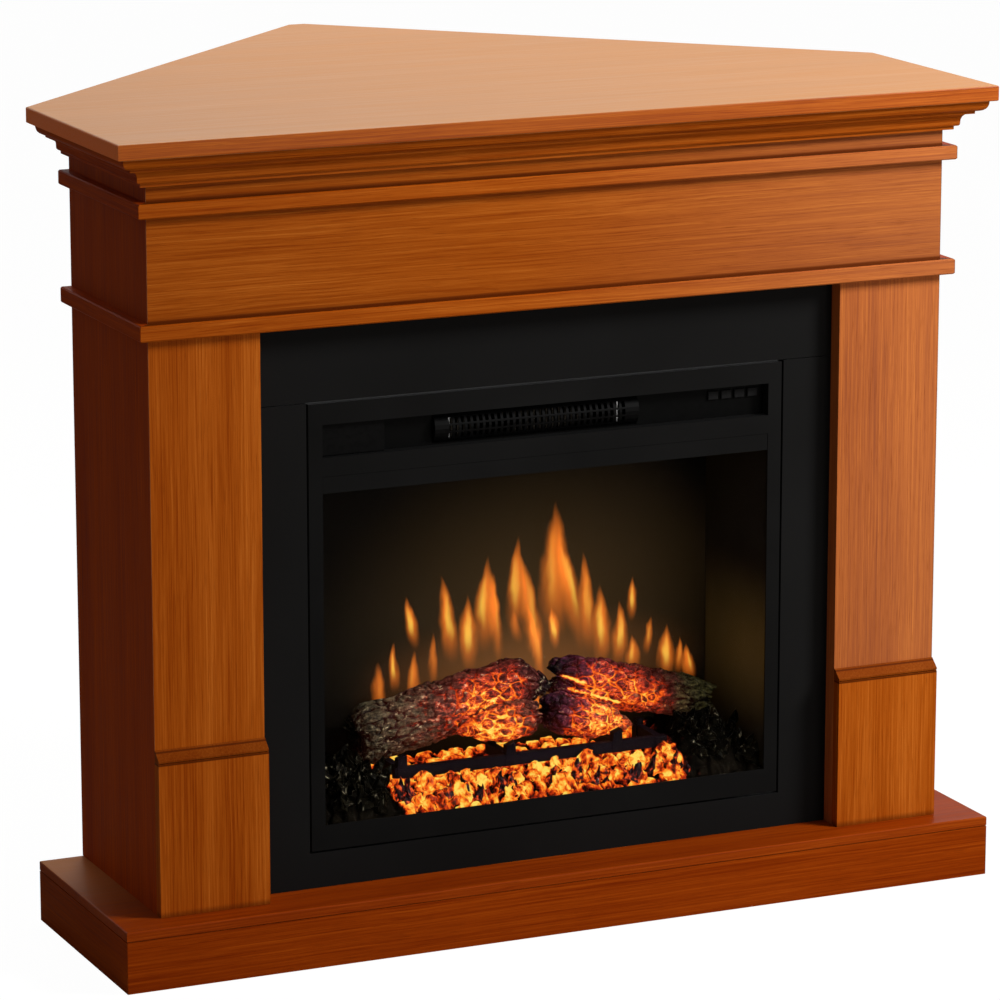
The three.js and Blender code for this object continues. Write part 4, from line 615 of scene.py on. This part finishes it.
def flame_tongue():
    """Node group that draws one tongue of flame: broad low down, drawn out to its tip, soft at its edges."""
    group = bpy.data.node_groups.new("flame_tongue", "ShaderNodeTree")
    for name in ("Across", "Height", "Foot X", "Foot Z", "Tip X", "Tip Z", "Width", "Heart", "Side", "Bright"):
        group.interface.new_socket(name, in_out="INPUT", socket_type="NodeSocketFloat")
    group.interface.new_socket("Colour", in_out="OUTPUT", socket_type="NodeSocketColor")
    given = group.nodes.new("NodeGroupInput").outputs
    tall = maths(group, "SUBTRACT", given["Tip Z"], given["Foot Z"])
    rise = maths(group, "DIVIDE", maths(group, "SUBTRACT", given["Height"], given["Foot Z"]), tall)
    rise = between(group, rise, 0, 1, smooth=False)
    lean = maths(group, "MULTIPLY", maths(group, "SUBTRACT", given["Tip X"], given["Foot X"]), rise)
    middle = maths(group, "ADD", given["Foot X"], lean)
    left_over = maths(group, "SUBTRACT", 1.0, rise)
    full = maths(group, "MULTIPLY", maths(group, "POWER", rise, 0.6), maths(group, "POWER", left_over, 1.0))
    half = maths(group, "MULTIPLY", maths(group, "MULTIPLY", full, 1.9), given["Width"])
    half = maths(group, "MAXIMUM", half, 0.0004)
    off = maths(group, "DIVIDE", maths(group, "SUBTRACT", given["Across"], middle), half)
    edge = between(group, maths(group, "ABSOLUTE", off), 1.3, 0.1)
    ends = maths(group, "MULTIPLY", between(group, rise, 0.02, 0.6), between(group, rise, 1.0, 0.68))
    from_heart = maths(group, "ABSOLUTE", maths(group, "SUBTRACT", off, given["Side"]))
    heart = maths(group, "MULTIPLY", between(group, from_heart, 0.75, 0.1), given["Heart"])
    heart = maths(group, "MULTIPLY", heart, between(group, rise, 0.04, 0.3))
    heart = maths(group, "MULTIPLY", heart, between(group, rise, 0.95, 0.4))
    light = maths(group, "MULTIPLY", maths(group, "MULTIPLY", edge, ends), given["Bright"])
    heart = maths(group, "MULTIPLY", heart, between(group, light, 0.25, 0.9))
    colour = blended(group, heart, (0.78, 0.165, 0.014, 1), (1.0, 0.54, 0.065, 1))
    shown = wire(group, "ShaderNodeVectorMath", {0: colour, "Scale": light}, operation="SCALE")
    wire(group, "NodeGroupOutput", {"Colour": shown.outputs[0]})
    return group


def glow_patch(tree, across, height, middle, reach, colour):
    """A soft oval of light round a point of the screen."""
    dx = maths(tree, "DIVIDE", maths(tree, "SUBTRACT", across, middle[0]), reach[0])
    dz = maths(tree, "DIVIDE", maths(tree, "SUBTRACT", height, middle[1]), reach[1])
    far = maths(tree, "ADD", maths(tree, "MULTIPLY", dx, dx), maths(tree, "MULTIPLY", dz, dz))
    fade = between(tree, maths(tree, "SQRT", far), 1.0, 0.0)
    return wire(tree, "ShaderNodeVectorMath", {0: colour, "Scale": fade}, operation="SCALE").outputs[0]


material, tree, surface, place = finish("flame_picture")
axes = wire(tree, "ShaderNodeSeparateXYZ", {0: place})
waver = grains(tree, place, (60, 0, 22), 2)
across = maths(tree, "ADD", axes.outputs["X"], between(tree, waver, 0.2, 0.8, -0.004, 0.004, smooth=False))
height = axes.outputs["Z"]
light = glow_patch(tree, across, height, (0.06, 0.33), (0.30, 0.22), (0.034, 0.0185, 0.0060))
haze = glow_patch(tree, across, height, (0.05, 0.25), (0.25, 0.085), (0.125, 0.043, 0.012))
light = wire(tree, "ShaderNodeVectorMath", {0: light, 1: haze}, operation="ADD").outputs[0]
tongue = flame_tongue()
for foot_x, low, tip_x, tip_z, width, heart, side, bright in FLAMES:
    drawn = wire(tree, "ShaderNodeGroup", node_tree=tongue)
    tree.links.new(across, drawn.inputs["Across"])
    tree.links.new(height, drawn.inputs["Height"])
    for name, value in zip(("Foot X", "Foot Z", "Tip X", "Tip Z", "Width", "Heart", "Side", "Bright"),
                           (foot_x, low, tip_x, tip_z, width, heart, side, bright)):
        drawn.inputs[name].default_value = value
    light = wire(tree, "ShaderNodeVectorMath", {0: light, 1: drawn.outputs[0]}, operation="ADD").outputs[0]
tree.links.new(light, surface.inputs["Emission Color"])
surface.inputs["Emission Strength"].default_value = 1.0
surface.inputs["Base Color"].default_value = (0.004, 0.003, 0.002, 1)
surface.inputs["Roughness"].default_value = 0.4
surface.inputs["Specular IOR Level"].default_value = 0.01
dress(material, "screen_acrylic", "flame_screen")

# ---------------------------------------------------------------------------------------------
# Grate: cast in one piece with a front bar, upright prongs and spars that hold the logs. Rough
# black iron, with a little red painted into its colour for the embers' light on it.

material, tree, surface, place = finish("grate_iron")
pits = grains(tree, place, (420, 420, 420), 4, 0.6)
tree.links.new(ramp(tree, pits, [(0.35, (0.0015, 0.001, 0.0016)), (0.7, (0.006, 0.003, 0.005))]),
               surface.inputs["Base Color"])
surface.inputs["Roughness"].default_value = 0.6
surface.inputs["Specular IOR Level"].default_value = 0.03
bumped(tree, surface, pits, 0.0008, 0.5)
dress(material, "cast_iron", "grate")

# ---------------------------------------------------------------------------------------------
# Ember bed: one thin moulding of heaped coals in clear amber resin, lit from below, with its
# lumps bright yellow and the seams between them painted with soot. It is dark at both ends.

lowest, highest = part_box("ember_bed")
EMBER_STEP = 0.0018
CREST_DEPTH = 0.052
FRONT_HEIGHT = 0.027
CREST_HEIGHT = 0.050
MOUND_HEIGHT = 0.020
MOUND_WIDTH = 0.060


def smooth_step(low, high, value):
    share = min(1.0, max(0.0, (value - low) / (high - low)))
    return share * share * (3 - 2 * share)


def bed_height(x, y):
    rise = min(1.0, (y - lowest.y) / (front_y + CREST_DEPTH - lowest.y))
    from_side = (highest.x - abs(x)) / MOUND_WIDTH
    mound = MOUND_HEIGHT * math.exp(-3 * (from_side - 0.8) ** 2) * rise
    return foot_z + FRONT_HEIGHT + (CREST_HEIGHT - FRONT_HEIGHT) * rise + mound


columns = round((highest.x - lowest.x) / EMBER_STEP)
rows = round((highest.y - lowest.y) / EMBER_STEP)
points, warmth = [], []
for j in range(rows + 1):
    for i in range(columns + 1):
        x = lowest.x + (highest.x - lowest.x) * i / columns
        y = lowest.y + (highest.y - lowest.y) * j / rows
        bend = 0.004 * noise.noise_vector(Vector((x, y, 0.3)) * 90)
        near = noise.voronoi(Vector(((x + bend.x) / 0.019, (y + bend.y) / 0.023, 3.7)))[0]
        wobble = noise.fractal(Vector((x, y, 0)) * 55, 0.8, 2.0, 4)
        lump = smooth_step(0.0, 0.35, near[1] - near[0])
        z = bed_height(x, y) + 0.007 * lump - 0.006 + 0.002 * wobble
        points.append((x, y, max(z, lowest.z + 0.012)))
        warmth.append(0.12 + 0.60 * lump - 0.30 * wobble)
top_count = len(points)
points += [(x, y, lowest.z) for x, y, z in points]
width = columns + 1
faces = []
for j in range(rows):
    for i in range(columns):
        a = j * width + i
        faces.append((a, a + 1, a + width + 1, a + width))
        b = a + top_count
        faces.append((b + width, b + width + 1, b + 1, b))
rim = ([i for i in range(columns)] + [j * width + columns for j in range(rows)]
       + [rows * width + i for i in range(columns, 0, -1)] + [j * width for j in range(rows, 0, -1)])
for k, a in enumerate(rim):
    b = rim[(k + 1) % len(rim)]
    faces.append((a, a + top_count, b + top_count, b))


def note(made, name, values):
    """Keeps one number for each point of a piece, for its material."""
    made.data.attributes.new(name, "FLOAT", "POINT").data.foreach_set("value", values)


ember_heap = piece("ember_heap", points, faces)
note(ember_heap, "warmth", warmth + [0.0] * top_count)

GLOW = [(0.00, (0.0, 0.0, 0.0)), (0.18, (0.050, 0.004, 0.002)), (0.36, (0.42, 0.022, 0.003)),
        (0.54, (0.92, 0.120, 0.008)), (0.74, (1.0, 0.34, 0.025)), (1.00, (1.0, 0.70, 0.11))]

material, tree, surface, place = finish("ember_resin_glow")
axes = wire(tree, "ShaderNodeSeparateXYZ", {0: place})
heat = wire(tree, "ShaderNodeAttribute", attribute_name="warmth").outputs["Fac"]
soot = grains(tree, place, (75, 60, 60), 4, 0.6)
flecks = grains(tree, place, (320, 320, 320), 4, 0.6)
away = between(tree, maths(tree, "ABSOLUTE", maths(tree, "SUBTRACT", axes.outputs["X"], 0.007)), 0.172, 0.212)
fire = maths(tree, "ADD", heat, between(tree, soot, 0.3, 0.7, -0.45, 0.35))
fire = maths(tree, "ADD", fire, between(tree, flecks, 0.3, 0.7, -0.1, 0.1))
fire = maths(tree, "SUBTRACT", fire, maths(tree, "MULTIPLY", away, 1.5))
tree.links.new(ramp(tree, fire, GLOW), surface.inputs["Emission Color"])
surface.inputs["Emission Strength"].default_value = 1.0
tree.links.new(ramp(tree, soot, [(0.3, (0.0012, 0.0010, 0.0007)), (0.7, (0.004, 0.003, 0.002))]),
               surface.inputs["Base Color"])
surface.inputs["Roughness"].default_value = 0.45
surface.inputs["Specular IOR Level"].default_value = 0.0
bumped(tree, surface, flecks, 0.0008, 0.6)
ember_heap.data.materials.append(material)
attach(ember_heap, "root")
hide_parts("ember_bed")

# ---------------------------------------------------------------------------------------------
# Logs: two large ones lie behind and two short ones in front, cast in resin over split wood. Bark
# is left grey at the outer ends; the middle is painted as charred wood, with glowing cracks.

LOG_RINGS = 190
LOG_SIDES = 140


def in_fire(point):
    return Vector((point[0], front_y + point[1], foot_z + point[2]))


def bark_plate(spot, length, width):
    """From 0 in a crack of the bark to 1 on a plate of such a length and width."""
    bent = spot + 0.005 * noise.noise_vector(spot * 70)
    near = noise.voronoi(Vector((bent.x / length, bent.y / width, bent.z / width)))[0]
    return smooth_step(0.0, 0.19, near[1] - near[0])


def girth_at(girth, share):
    """The radius between the nearest two of the log's (share, radius) pairs."""
    for (low, before), (high, after) in zip(girth, girth[1:]):
        if share <= high:
            mix = smooth_step(low, high, share)
            return before * (1 - mix) + after * mix
    return girth[-1][1]


def from_line(x, z, line):
    """How far a place lies from a line of (x0, z0, x1, z1)."""
    x0, z0, x1, z1 = line
    run, rise = x1 - x0, z1 - z0
    share = min(1.0, max(0.0, ((x - x0) * run + (z - z0) * rise) / (run * run + rise * rise)))
    return math.hypot(x - x0 - share * run, z - z0 - share * rise)


def log_piece(name, start, end, girth, torn, droop, furrowed, hot, splits, seed):
    """A log round an axis: long furrows over the furrowed share of its length, plates over the rest.

    Hot spots are (x, z, reach, power), and splits are bright lines along the front.
    """
    start, end = in_fire(start), in_fire(end)
    axis = (end - start).normalized()
    length = (end - start).length
    across = Vector((0, 0, 1)).cross(axis).normalized()
    upright = axis.cross(across)
    points, plates, shares, warmth = [], [], [], []
    for i in range(LOG_RINGS + 1):
        share = i / LOG_RINGS
        radius = girth_at(girth, share)
        blocky = smooth_step(furrowed[0], furrowed[1], share)
        if furrowed[0] > furrowed[1]:
            blocky = 1 - smooth_step(furrowed[1], furrowed[0], share)
        for j in range(LOG_SIDES):
            angle = 2 * math.pi * j / LOG_SIDES
            ring = Vector((0, math.cos(angle), math.sin(angle)))
            spot = Vector((share * length + seed, radius * ring.y, radius * ring.z))
            plate = bark_plate(spot, 0.021, 0.014) if blocky > 0 else 0.0
            if blocky < 1:
                plate = blocky * plate + (1 - blocky) * bark_plate(spot, 0.048, 0.010)
            fibre = noise.fractal(Vector((spot.x * 40, spot.y * 190, spot.z * 190)), 0.9, 2.0, 4)
            swell = noise.fractal(spot * 24, 0.8, 2.0, 3)
            knob = noise.fractal(spot * 75, 0.8, 2.0, 3)
            out = radius * (1 + 0.12 * swell) - 0.0034 * (1 - plate) + 0.0012 * fibre + 0.0012 * knob
            tear = noise.fractal(Vector((seed, ring.y * 2.6, ring.z * 2.6)), 0.9, 2.0, 4)
            shift = torn[0] * tear * smooth_step(0.12, 0.0, share) + torn[1] * tear * smooth_step(0.88, 1.0, share)
            place = start + axis * (share * length + shift) + (across * ring.y + upright * ring.z) * out
            place.z += droop * smooth_step(0.84, 1.0, share)
            front = smooth_step(-0.9, 0.3, -ring.y - 0.35 * ring.z)
            heat = sum(power * math.exp(-((place.x - x) ** 2 + (place.z - z) ** 2) / reach ** 2)
                       for x, z, reach, power in hot)
            line = max((math.exp(-(from_line(place.x, place.z, split) / 0.0017) ** 2) for split in splits),
                       default=0.0)
            points.append(place)
            plates.append(plate)
            shares.append(share)
            warmth.append((heat + 0.75 * line) * front)
    faces = []
    for i in range(LOG_RINGS):
        for j in range(LOG_SIDES):
            a, b = i * LOG_SIDES + j, i * LOG_SIDES + (j + 1) % LOG_SIDES
            faces.append((a, b, b + LOG_SIDES, a + LOG_SIDES))
    for ring, inward, flip in ((0, 0.004, True), (LOG_RINGS, -0.004, False)):
        loop = list(range(ring * LOG_SIDES, (ring + 1) * LOG_SIDES))
        hub = sum((points[k] for k in loop), Vector()) / LOG_SIDES + axis * inward
        points.append(hub)
        plates.append(0.3)
        shares.append(ring / LOG_RINGS)
        warmth.append(0.0)
        for k, a in enumerate(loop):
            b = loop[(k + 1) % LOG_SIDES]
            faces.append((b, a, len(points) - 1) if flip else (a, b, len(points) - 1))
    made = piece(name, points, faces)
    note(made, "plate", plates)
    note(made, "along", shares)
    note(made, "warmth", warmth)
    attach(made, "root")
    return made


def log_finish(name, bark, crest, network=75.0):
    """Bark colours along the log with pale crests, partly pale paint and partly painted glints, and the glow where it
    is hot, brightest in the cracks.
    """
    material, tree, surface, place = finish(name)
    plate = wire(tree, "ShaderNodeAttribute", attribute_name="plate").outputs["Fac"]
    along = wire(tree, "ShaderNodeAttribute", attribute_name="along").outputs["Fac"]
    heat = wire(tree, "ShaderNodeAttribute", attribute_name="warmth").outputs["Fac"]
    fine = grains(tree, place, (150, 230, 230), 6, 0.62)
    patch = grains(tree, place, (50, 60, 60), 3, 0.5)
    wood = ramp(tree, maths(tree, "ADD", along, between(tree, patch, 0.3, 0.7, -0.08, 0.08)), bark)
    shade = maths(tree, "MULTIPLY", between(tree, fine, 0.36, 0.66, 0.25, 1.9), between(tree, plate, 0.05, 0.9, 0.04, 1.0))
    wood = wire(tree, "ShaderNodeVectorMath", {0: wood, "Scale": shade}, operation="SCALE").outputs[0]
    # Pale crests: partly the bark's pale paint, partly painted glints where light would catch the ridges.
    pale_crest_and_glint = maths(tree, "MULTIPLY", between(tree, fine, 0.585, 0.64), between(tree, patch, 0.42, 0.58))
    wood = blended(tree, maths(tree, "MULTIPLY", pale_crest_and_glint, 0.65), wood, (*crest, 1))
    tree.links.new(wood, surface.inputs["Base Color"])
    surface.inputs["Roughness"].default_value = 0.5
    surface.inputs["Specular IOR Level"].default_value = 0.05
    wander = wire(tree, "ShaderNodeTexNoise", {"Vector": place, "Scale": 80.0, "Detail": 3.0})
    wander = wire(tree, "ShaderNodeVectorMath", {0: wander.outputs["Color"], "Scale": 0.016}, operation="SCALE")
    moved = wire(tree, "ShaderNodeVectorMath", {0: place, 1: wander.outputs[0]}, operation="ADD").outputs[0]
    web = wire(tree, "ShaderNodeTexVoronoi", {"Vector": moved, "Scale": network}, feature="DISTANCE_TO_EDGE")
    lines = between(tree, web.outputs["Distance"], 0.055, 0.0)
    crevice = between(tree, plate, 0.7, 0.0)
    soot = grains(tree, place, (95, 120, 120), 4, 0.6)
    cracks = maths(tree, "MAXIMUM", maths(tree, "MULTIPLY", lines, between(tree, patch, 0.46, 0.58, 0.0, 0.8)), crevice)
    fire = maths(tree, "MULTIPLY", heat, between(tree, fine, 0.34, 0.66, 0.45, 1.15))
    fire = maths(tree, "MULTIPLY", fire, between(tree, soot, 0.36, 0.60, 0.35, 1.15))
    fire = maths(tree, "ADD", fire, maths(tree, "MULTIPLY", cracks, between(tree, heat, 0.06, 0.55, 0, 0.44)))
    tree.links.new(ramp(tree, fire, GLOW), surface.inputs["Emission Color"])
    surface.inputs["Emission Strength"].default_value = 1.0
    bumped(tree, surface, maths(tree, "SUBTRACT", fine, maths(tree, "MULTIPLY", lines, 0.4)), 0.0022, 0.9)
    return material


OLIVE, MOSS, PLUM = (0.036, 0.029, 0.016), (0.050, 0.043, 0.014), (0.018, 0.003, 0.009)

log = log_piece("big_log_left", (-0.192, 0.118, 0.092), (0.058, 0.118, 0.147),
                [(0, 0.028), (0.05, 0.033), (0.3, 0.034), (0.6, 0.033), (0.8, 0.031), (0.86, 0.027),
                 (0.93, 0.016), (1, 0.003)], (0.010, 0.006), -0.016, (0.22, 0.42),
                [(-0.100, 0.230, 0.066, 0.22), (-0.030, 0.246, 0.034, 0.44), (0.002, 0.262, 0.022, 0.22),
                 (-0.052, 0.228, 0.026, 0.30)], [], 1.3)
log.data.materials.append(log_finish("bark_grey_to_char", [
    (0.00, OLIVE), (0.22, (0.048, 0.036, 0.020)), (0.38, (0.055, 0.018, 0.012)), (0.60, (0.060, 0.010, 0.007)),
    (0.82, (0.040, 0.006, 0.005)), (0.95, (0.006, 0.002, 0.003))], (0.42, 0.34, 0.21)))
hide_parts("log_back_left")

log = log_piece("big_log_right", (0.066, 0.120, 0.137), (0.264, 0.122, 0.087),
                [(0, 0.012), (0.03, 0.022), (0.09, 0.029), (0.3, 0.030), (0.6, 0.028), (0.85, 0.026),
                 (1, 0.020)], (0.016, 0.008), 0.0, (0.80, 0.62),
                [(0.135, 0.236, 0.048, 0.30), (0.104, 0.246, 0.026, 0.34), (0.160, 0.222, 0.030, 0.22),
                 (0.190, 0.214, 0.026, 0.20)],
                [(0.065, 0.257, 0.091, 0.248), (0.072, 0.242, 0.104, 0.231), (0.104, 0.231, 0.137, 0.217)], 5.1)
log.data.materials.append(log_finish("bark_char_to_moss", [
    (0.00, PLUM), (0.16, (0.050, 0.006, 0.014)), (0.45, (0.060, 0.010, 0.007)), (0.66, (0.045, 0.014, 0.010)),
    (0.78, (0.050, 0.044, 0.018)), (0.95, MOSS)], (0.26, 0.22, 0.09), 80.0))
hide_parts("log_back_right")

log = log_piece("small_log_left", (-0.082, 0.084, 0.097), (0.024, 0.086, 0.103),
                [(0, 0.003), (0.12, 0.010), (0.35, 0.020), (0.6, 0.024), (0.85, 0.023), (0.95, 0.018),
                 (1, 0.011)], (0.004, 0.010), 0.0, (-0.2, -0.1),
                [(-0.030, 0.212, 0.044, 0.60), (-0.055, 0.206, 0.028, 0.20)],
                [(-0.064, 0.2265, -0.042, 0.238), (-0.042, 0.238, -0.021, 0.2445)], 8.4)
log.data.materials.append(log_finish("charred_wood_left", [
    (0.0, (0.09, 0.018, 0.008)), (0.6, (0.08, 0.024, 0.012)), (1.0, (0.03, 0.008, 0.008))], (0.40, 0.20, 0.09), 85.0))
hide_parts("log_front_left")

log = log_piece("small_log_right", (0.032, 0.084, 0.108), (0.147, 0.086, 0.078),
                [(0, 0.014), (0.04, 0.022), (0.15, 0.025), (0.5, 0.024), (0.75, 0.018), (0.9, 0.010),
                 (1, 0.003)], (0.008, 0.004), 0.0, (-0.2, -0.1),
                [(0.088, 0.212, 0.030, 0.52), (0.118, 0.204, 0.030, 0.55), (0.060, 0.200, 0.022, 0.18)],
                [(0.062, 0.2405, 0.104, 0.2285)], 11.2)
log.data.materials.append(log_finish("charred_wood_right", [
    (0.0, PLUM), (0.30, (0.05, 0.007, 0.014)), (0.6, (0.09, 0.024, 0.011)), (1.0, (0.08, 0.03, 0.014))],
    (0.36, 0.16, 0.10), 85.0))
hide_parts("log_front_right")

# ---------------------------------------------------------------------------------------------
# Loose coals: glowing chips and pointed sooty shards of resin on the lit part of the bed, and
# heaps of black slag at both ends. Each is a broken stone of its own.


def scatter_tree(name, material, pointed):
    """Geometry nodes that strew broken stones, or pointed shards, over the mesh that they are given."""
    tree, given = start_tree(name, "Density", "Stone size", "Tallness", "Tilt", "Seed")
    spots = wire(tree, "GeometryNodeDistributePointsOnFaces", {
        "Mesh": given["Ground"], "Density": given["Density"], "Seed": given["Seed"]})
    if pointed:
        stone = wire(tree, "GeometryNodeMeshCone", {
            "Vertices": 7, "Side Segments": 5, "Radius Top": 0.05, "Radius Bottom": 0.5, "Depth": 1.0})
    else:
        stone = wire(tree, "GeometryNodeMeshIcoSphere", {"Radius": 0.5, "Subdivisions": 3})
    turn = wire(tree, "FunctionNodeRandomValue", {
        0: (-1, -1, -math.pi), 1: (1, 1, math.pi), "Seed": given["Seed"]}, data_type="FLOAT_VECTOR")
    tilt = wire(tree, "ShaderNodeCombineXYZ", {"X": given["Tilt"], "Y": given["Tilt"], "Z": 1.0})
    turn = wire(tree, "ShaderNodeVectorMath", {0: turn.outputs[0], 1: tilt.outputs[0]}, operation="MULTIPLY")
    size = wire(tree, "FunctionNodeRandomValue", {2: 0.55, 3: 1.3, "Seed": given["Seed"]}, data_type="FLOAT")
    scale = maths(tree, "MULTIPLY", size.outputs[1], given["Stone size"])
    shape = wire(tree, "ShaderNodeCombineXYZ", {
        "X": scale, "Y": maths(tree, "MULTIPLY", scale, 0.7), "Z": maths(tree, "MULTIPLY", scale, given["Tallness"])})
    placed = wire(tree, "GeometryNodeInstanceOnPoints", {
        "Points": spots.outputs["Points"], "Instance": stone.outputs["Mesh"], "Rotation": turn.outputs[0],
        "Scale": shape.outputs[0]})
    real = wire(tree, "GeometryNodeRealizeInstances", {"Geometry": placed.outputs[0]})
    where = wire(tree, "GeometryNodeInputPosition").outputs[0]
    rough = wire(tree, "ShaderNodeTexNoise", {"Vector": where, "Scale": 130.0, "Detail": 2.0})
    centred = wire(tree, "ShaderNodeVectorMath", {0: rough.outputs["Color"], 1: (0.5, 0.5, 0.5)}, operation="SUBTRACT")
    push = wire(tree, "ShaderNodeVectorMath", {
        0: centred.outputs[0], "Scale": maths(tree, "MULTIPLY", given["Stone size"], 0.9)}, operation="SCALE")
    broken = wire(tree, "GeometryNodeSetPosition", {"Geometry": real.outputs[0], "Offset": push.outputs[0]})
    flat = wire(tree, "GeometryNodeSetShadeSmooth", {"Geometry": broken.outputs[0], "Shade Smooth": not pointed})
    painted = wire(tree, "GeometryNodeSetMaterial", {"Geometry": flat.outputs[0], "Material": material})
    wire(tree, "NodeGroupOutput", {"Made": painted.outputs[0]})
    return tree


def strew(name, tree, spans, density, size, tallness, tilt, seed):
    """Stones over patches of the bed, each from x0 to x1 and y0 to y1; the density is per square metre."""
    ground_points, ground_faces = [], []
    for x0, x1, y0, y1 in spans:
        steps_x, steps_y = 12, 8
        first = len(ground_points)
        for j in range(steps_y + 1):
            for i in range(steps_x + 1):
                x, y = x0 + (x1 - x0) * i / steps_x, y0 + (y1 - y0) * j / steps_y
                ground_points.append((x, y, bed_height(x, y) - 0.003))
        for j in range(steps_y):
            for i in range(steps_x):
                a = first + j * (steps_x + 1) + i
                ground_faces.append((a, a + 1, a + steps_x + 2, a + steps_x + 1))
    made = grown(piece(name, ground_points, ground_faces), tree, density=density, stone_size=size,
                 tallness=tallness, tilt=tilt, seed=seed)
    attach(made, "root")
    return made


slag, tree, surface, place = finish("black_slag")
chips = grains(tree, place, (200, 200, 120), 4)
edges = wire(tree, "ShaderNodeTexVoronoi", {"Vector": stretched(tree, place, (70, 70, 32)), "Scale": 1.0},
             feature="DISTANCE_TO_EDGE")
# Painted glints: thin pale strokes on the chips' edges, where they would catch the light.
glint = maths(tree, "MULTIPLY", between(tree, edges.outputs["Distance"], 0.04, 0.0), between(tree, chips, 0.53, 0.64))
dark = ramp(tree, chips, [(0.35, (0.0010, 0.0009, 0.0006)), (0.75, (0.0055, 0.0040, 0.0020))])
tree.links.new(blended(tree, glint, dark, (0.20, 0.175, 0.12, 1)), surface.inputs["Base Color"])
surface.inputs["Roughness"].default_value = 0.4
surface.inputs["Specular IOR Level"].default_value = 0.008
bumped(tree, surface, chips, 0.0015, 0.7)

edge_x = highest.x - 0.009
near_y, far_y = lowest.y + 0.008, front_y + 0.10
slag_heap = scatter_tree("slag_heap", slag, True)
strew("slag_heap_left", slag_heap, [(-edge_x, -0.190, near_y, far_y)], 7000.0, 0.021, 1.2, 0.6, 4)
strew("slag_heap_right", slag_heap, [(0.205, edge_x, near_y, far_y)], 7000.0, 0.021, 1.2, 0.6, 9)

hot_chip, tree, surface, place = finish("glowing_chip")
mottle = grains(tree, place, (110, 110, 80), 4, 0.55)
blotch = grains(tree, place, (38, 38, 30), 3, 0.6)
toward = between(tree, facing(tree, (0, -0.85, 0.5)), -0.2, 0.9, 0.16, 0.80, smooth=False)
fire = maths(tree, "ADD", toward, between(tree, mottle, 0.3, 0.7, -0.34, 0.30))
fire = maths(tree, "ADD", fire, between(tree, blotch, 0.35, 0.62, -0.32, 0.16))
tree.links.new(ramp(tree, fire, GLOW), surface.inputs["Emission Color"])
surface.inputs["Emission Strength"].default_value = 1.0
surface.inputs["Base Color"].default_value = (0.02, 0.004, 0.001, 1)
surface.inputs["Roughness"].default_value = 0.4
surface.inputs["Specular IOR Level"].default_value = 0.03
bumped(tree, surface, mottle, 0.001, 0.5)
strew("glowing_chips", scatter_tree("glowing_chips", hot_chip, False), [(-0.180, 0.200, near_y, front_y + 0.058)],
      2300.0, 0.0215, 1.25, 0.5, 33)

char, tree, surface, place = finish("sooty_shard")
chips = grains(tree, place, (170, 170, 120), 4)
tree.links.new(ramp(tree, chips, [(0.35, (0.004, 0.001, 0.002)), (0.72, (0.020, 0.006, 0.006))]),
               surface.inputs["Base Color"])
surface.inputs["Roughness"].default_value = 0.5
surface.inputs["Specular IOR Level"].default_value = 0.05
fire = between(tree, chips, 0.46, 0.66, 0.0, 0.50)
tree.links.new(ramp(tree, fire, GLOW), surface.inputs["Emission Color"])
surface.inputs["Emission Strength"].default_value = 1.0
strew("sooty_shards", scatter_tree("sooty_shards", char, True),
      [(-0.190, 0.205, near_y + 0.002, front_y + 0.036)], 5000.0, 0.0150, 1.35, 0.45, 21)

# ---------------------------------------------------------------------------------------------
# Window: a pane of 4 mm heat-proof glass behind the frame, treated against reflections, so that
# it is hardly seen. Lamps shine through it.

material, tree, surface, place = finish("window_pane")
surface.inputs["Base Color"].default_value = (0.97, 0.98, 0.97, 1)
surface.inputs["Transmission Weight"].default_value = 1.0
surface.inputs["Roughness"].default_value = 0.0
surface.inputs["IOR"].default_value = 1.04
output = tree.nodes["Material Output"]
clear = wire(tree, "ShaderNodeBsdfTransparent")
rays = wire(tree, "ShaderNodeLightPath")
pane = wire(tree, "ShaderNodeMixShader", {
    0: rays.outputs["Is Shadow Ray"], 1: surface.outputs[0], 2: clear.outputs[0]})
tree.links.new(pane.outputs[0], output.inputs["Surface"])
dress(material, "window_glass", "window_glass")
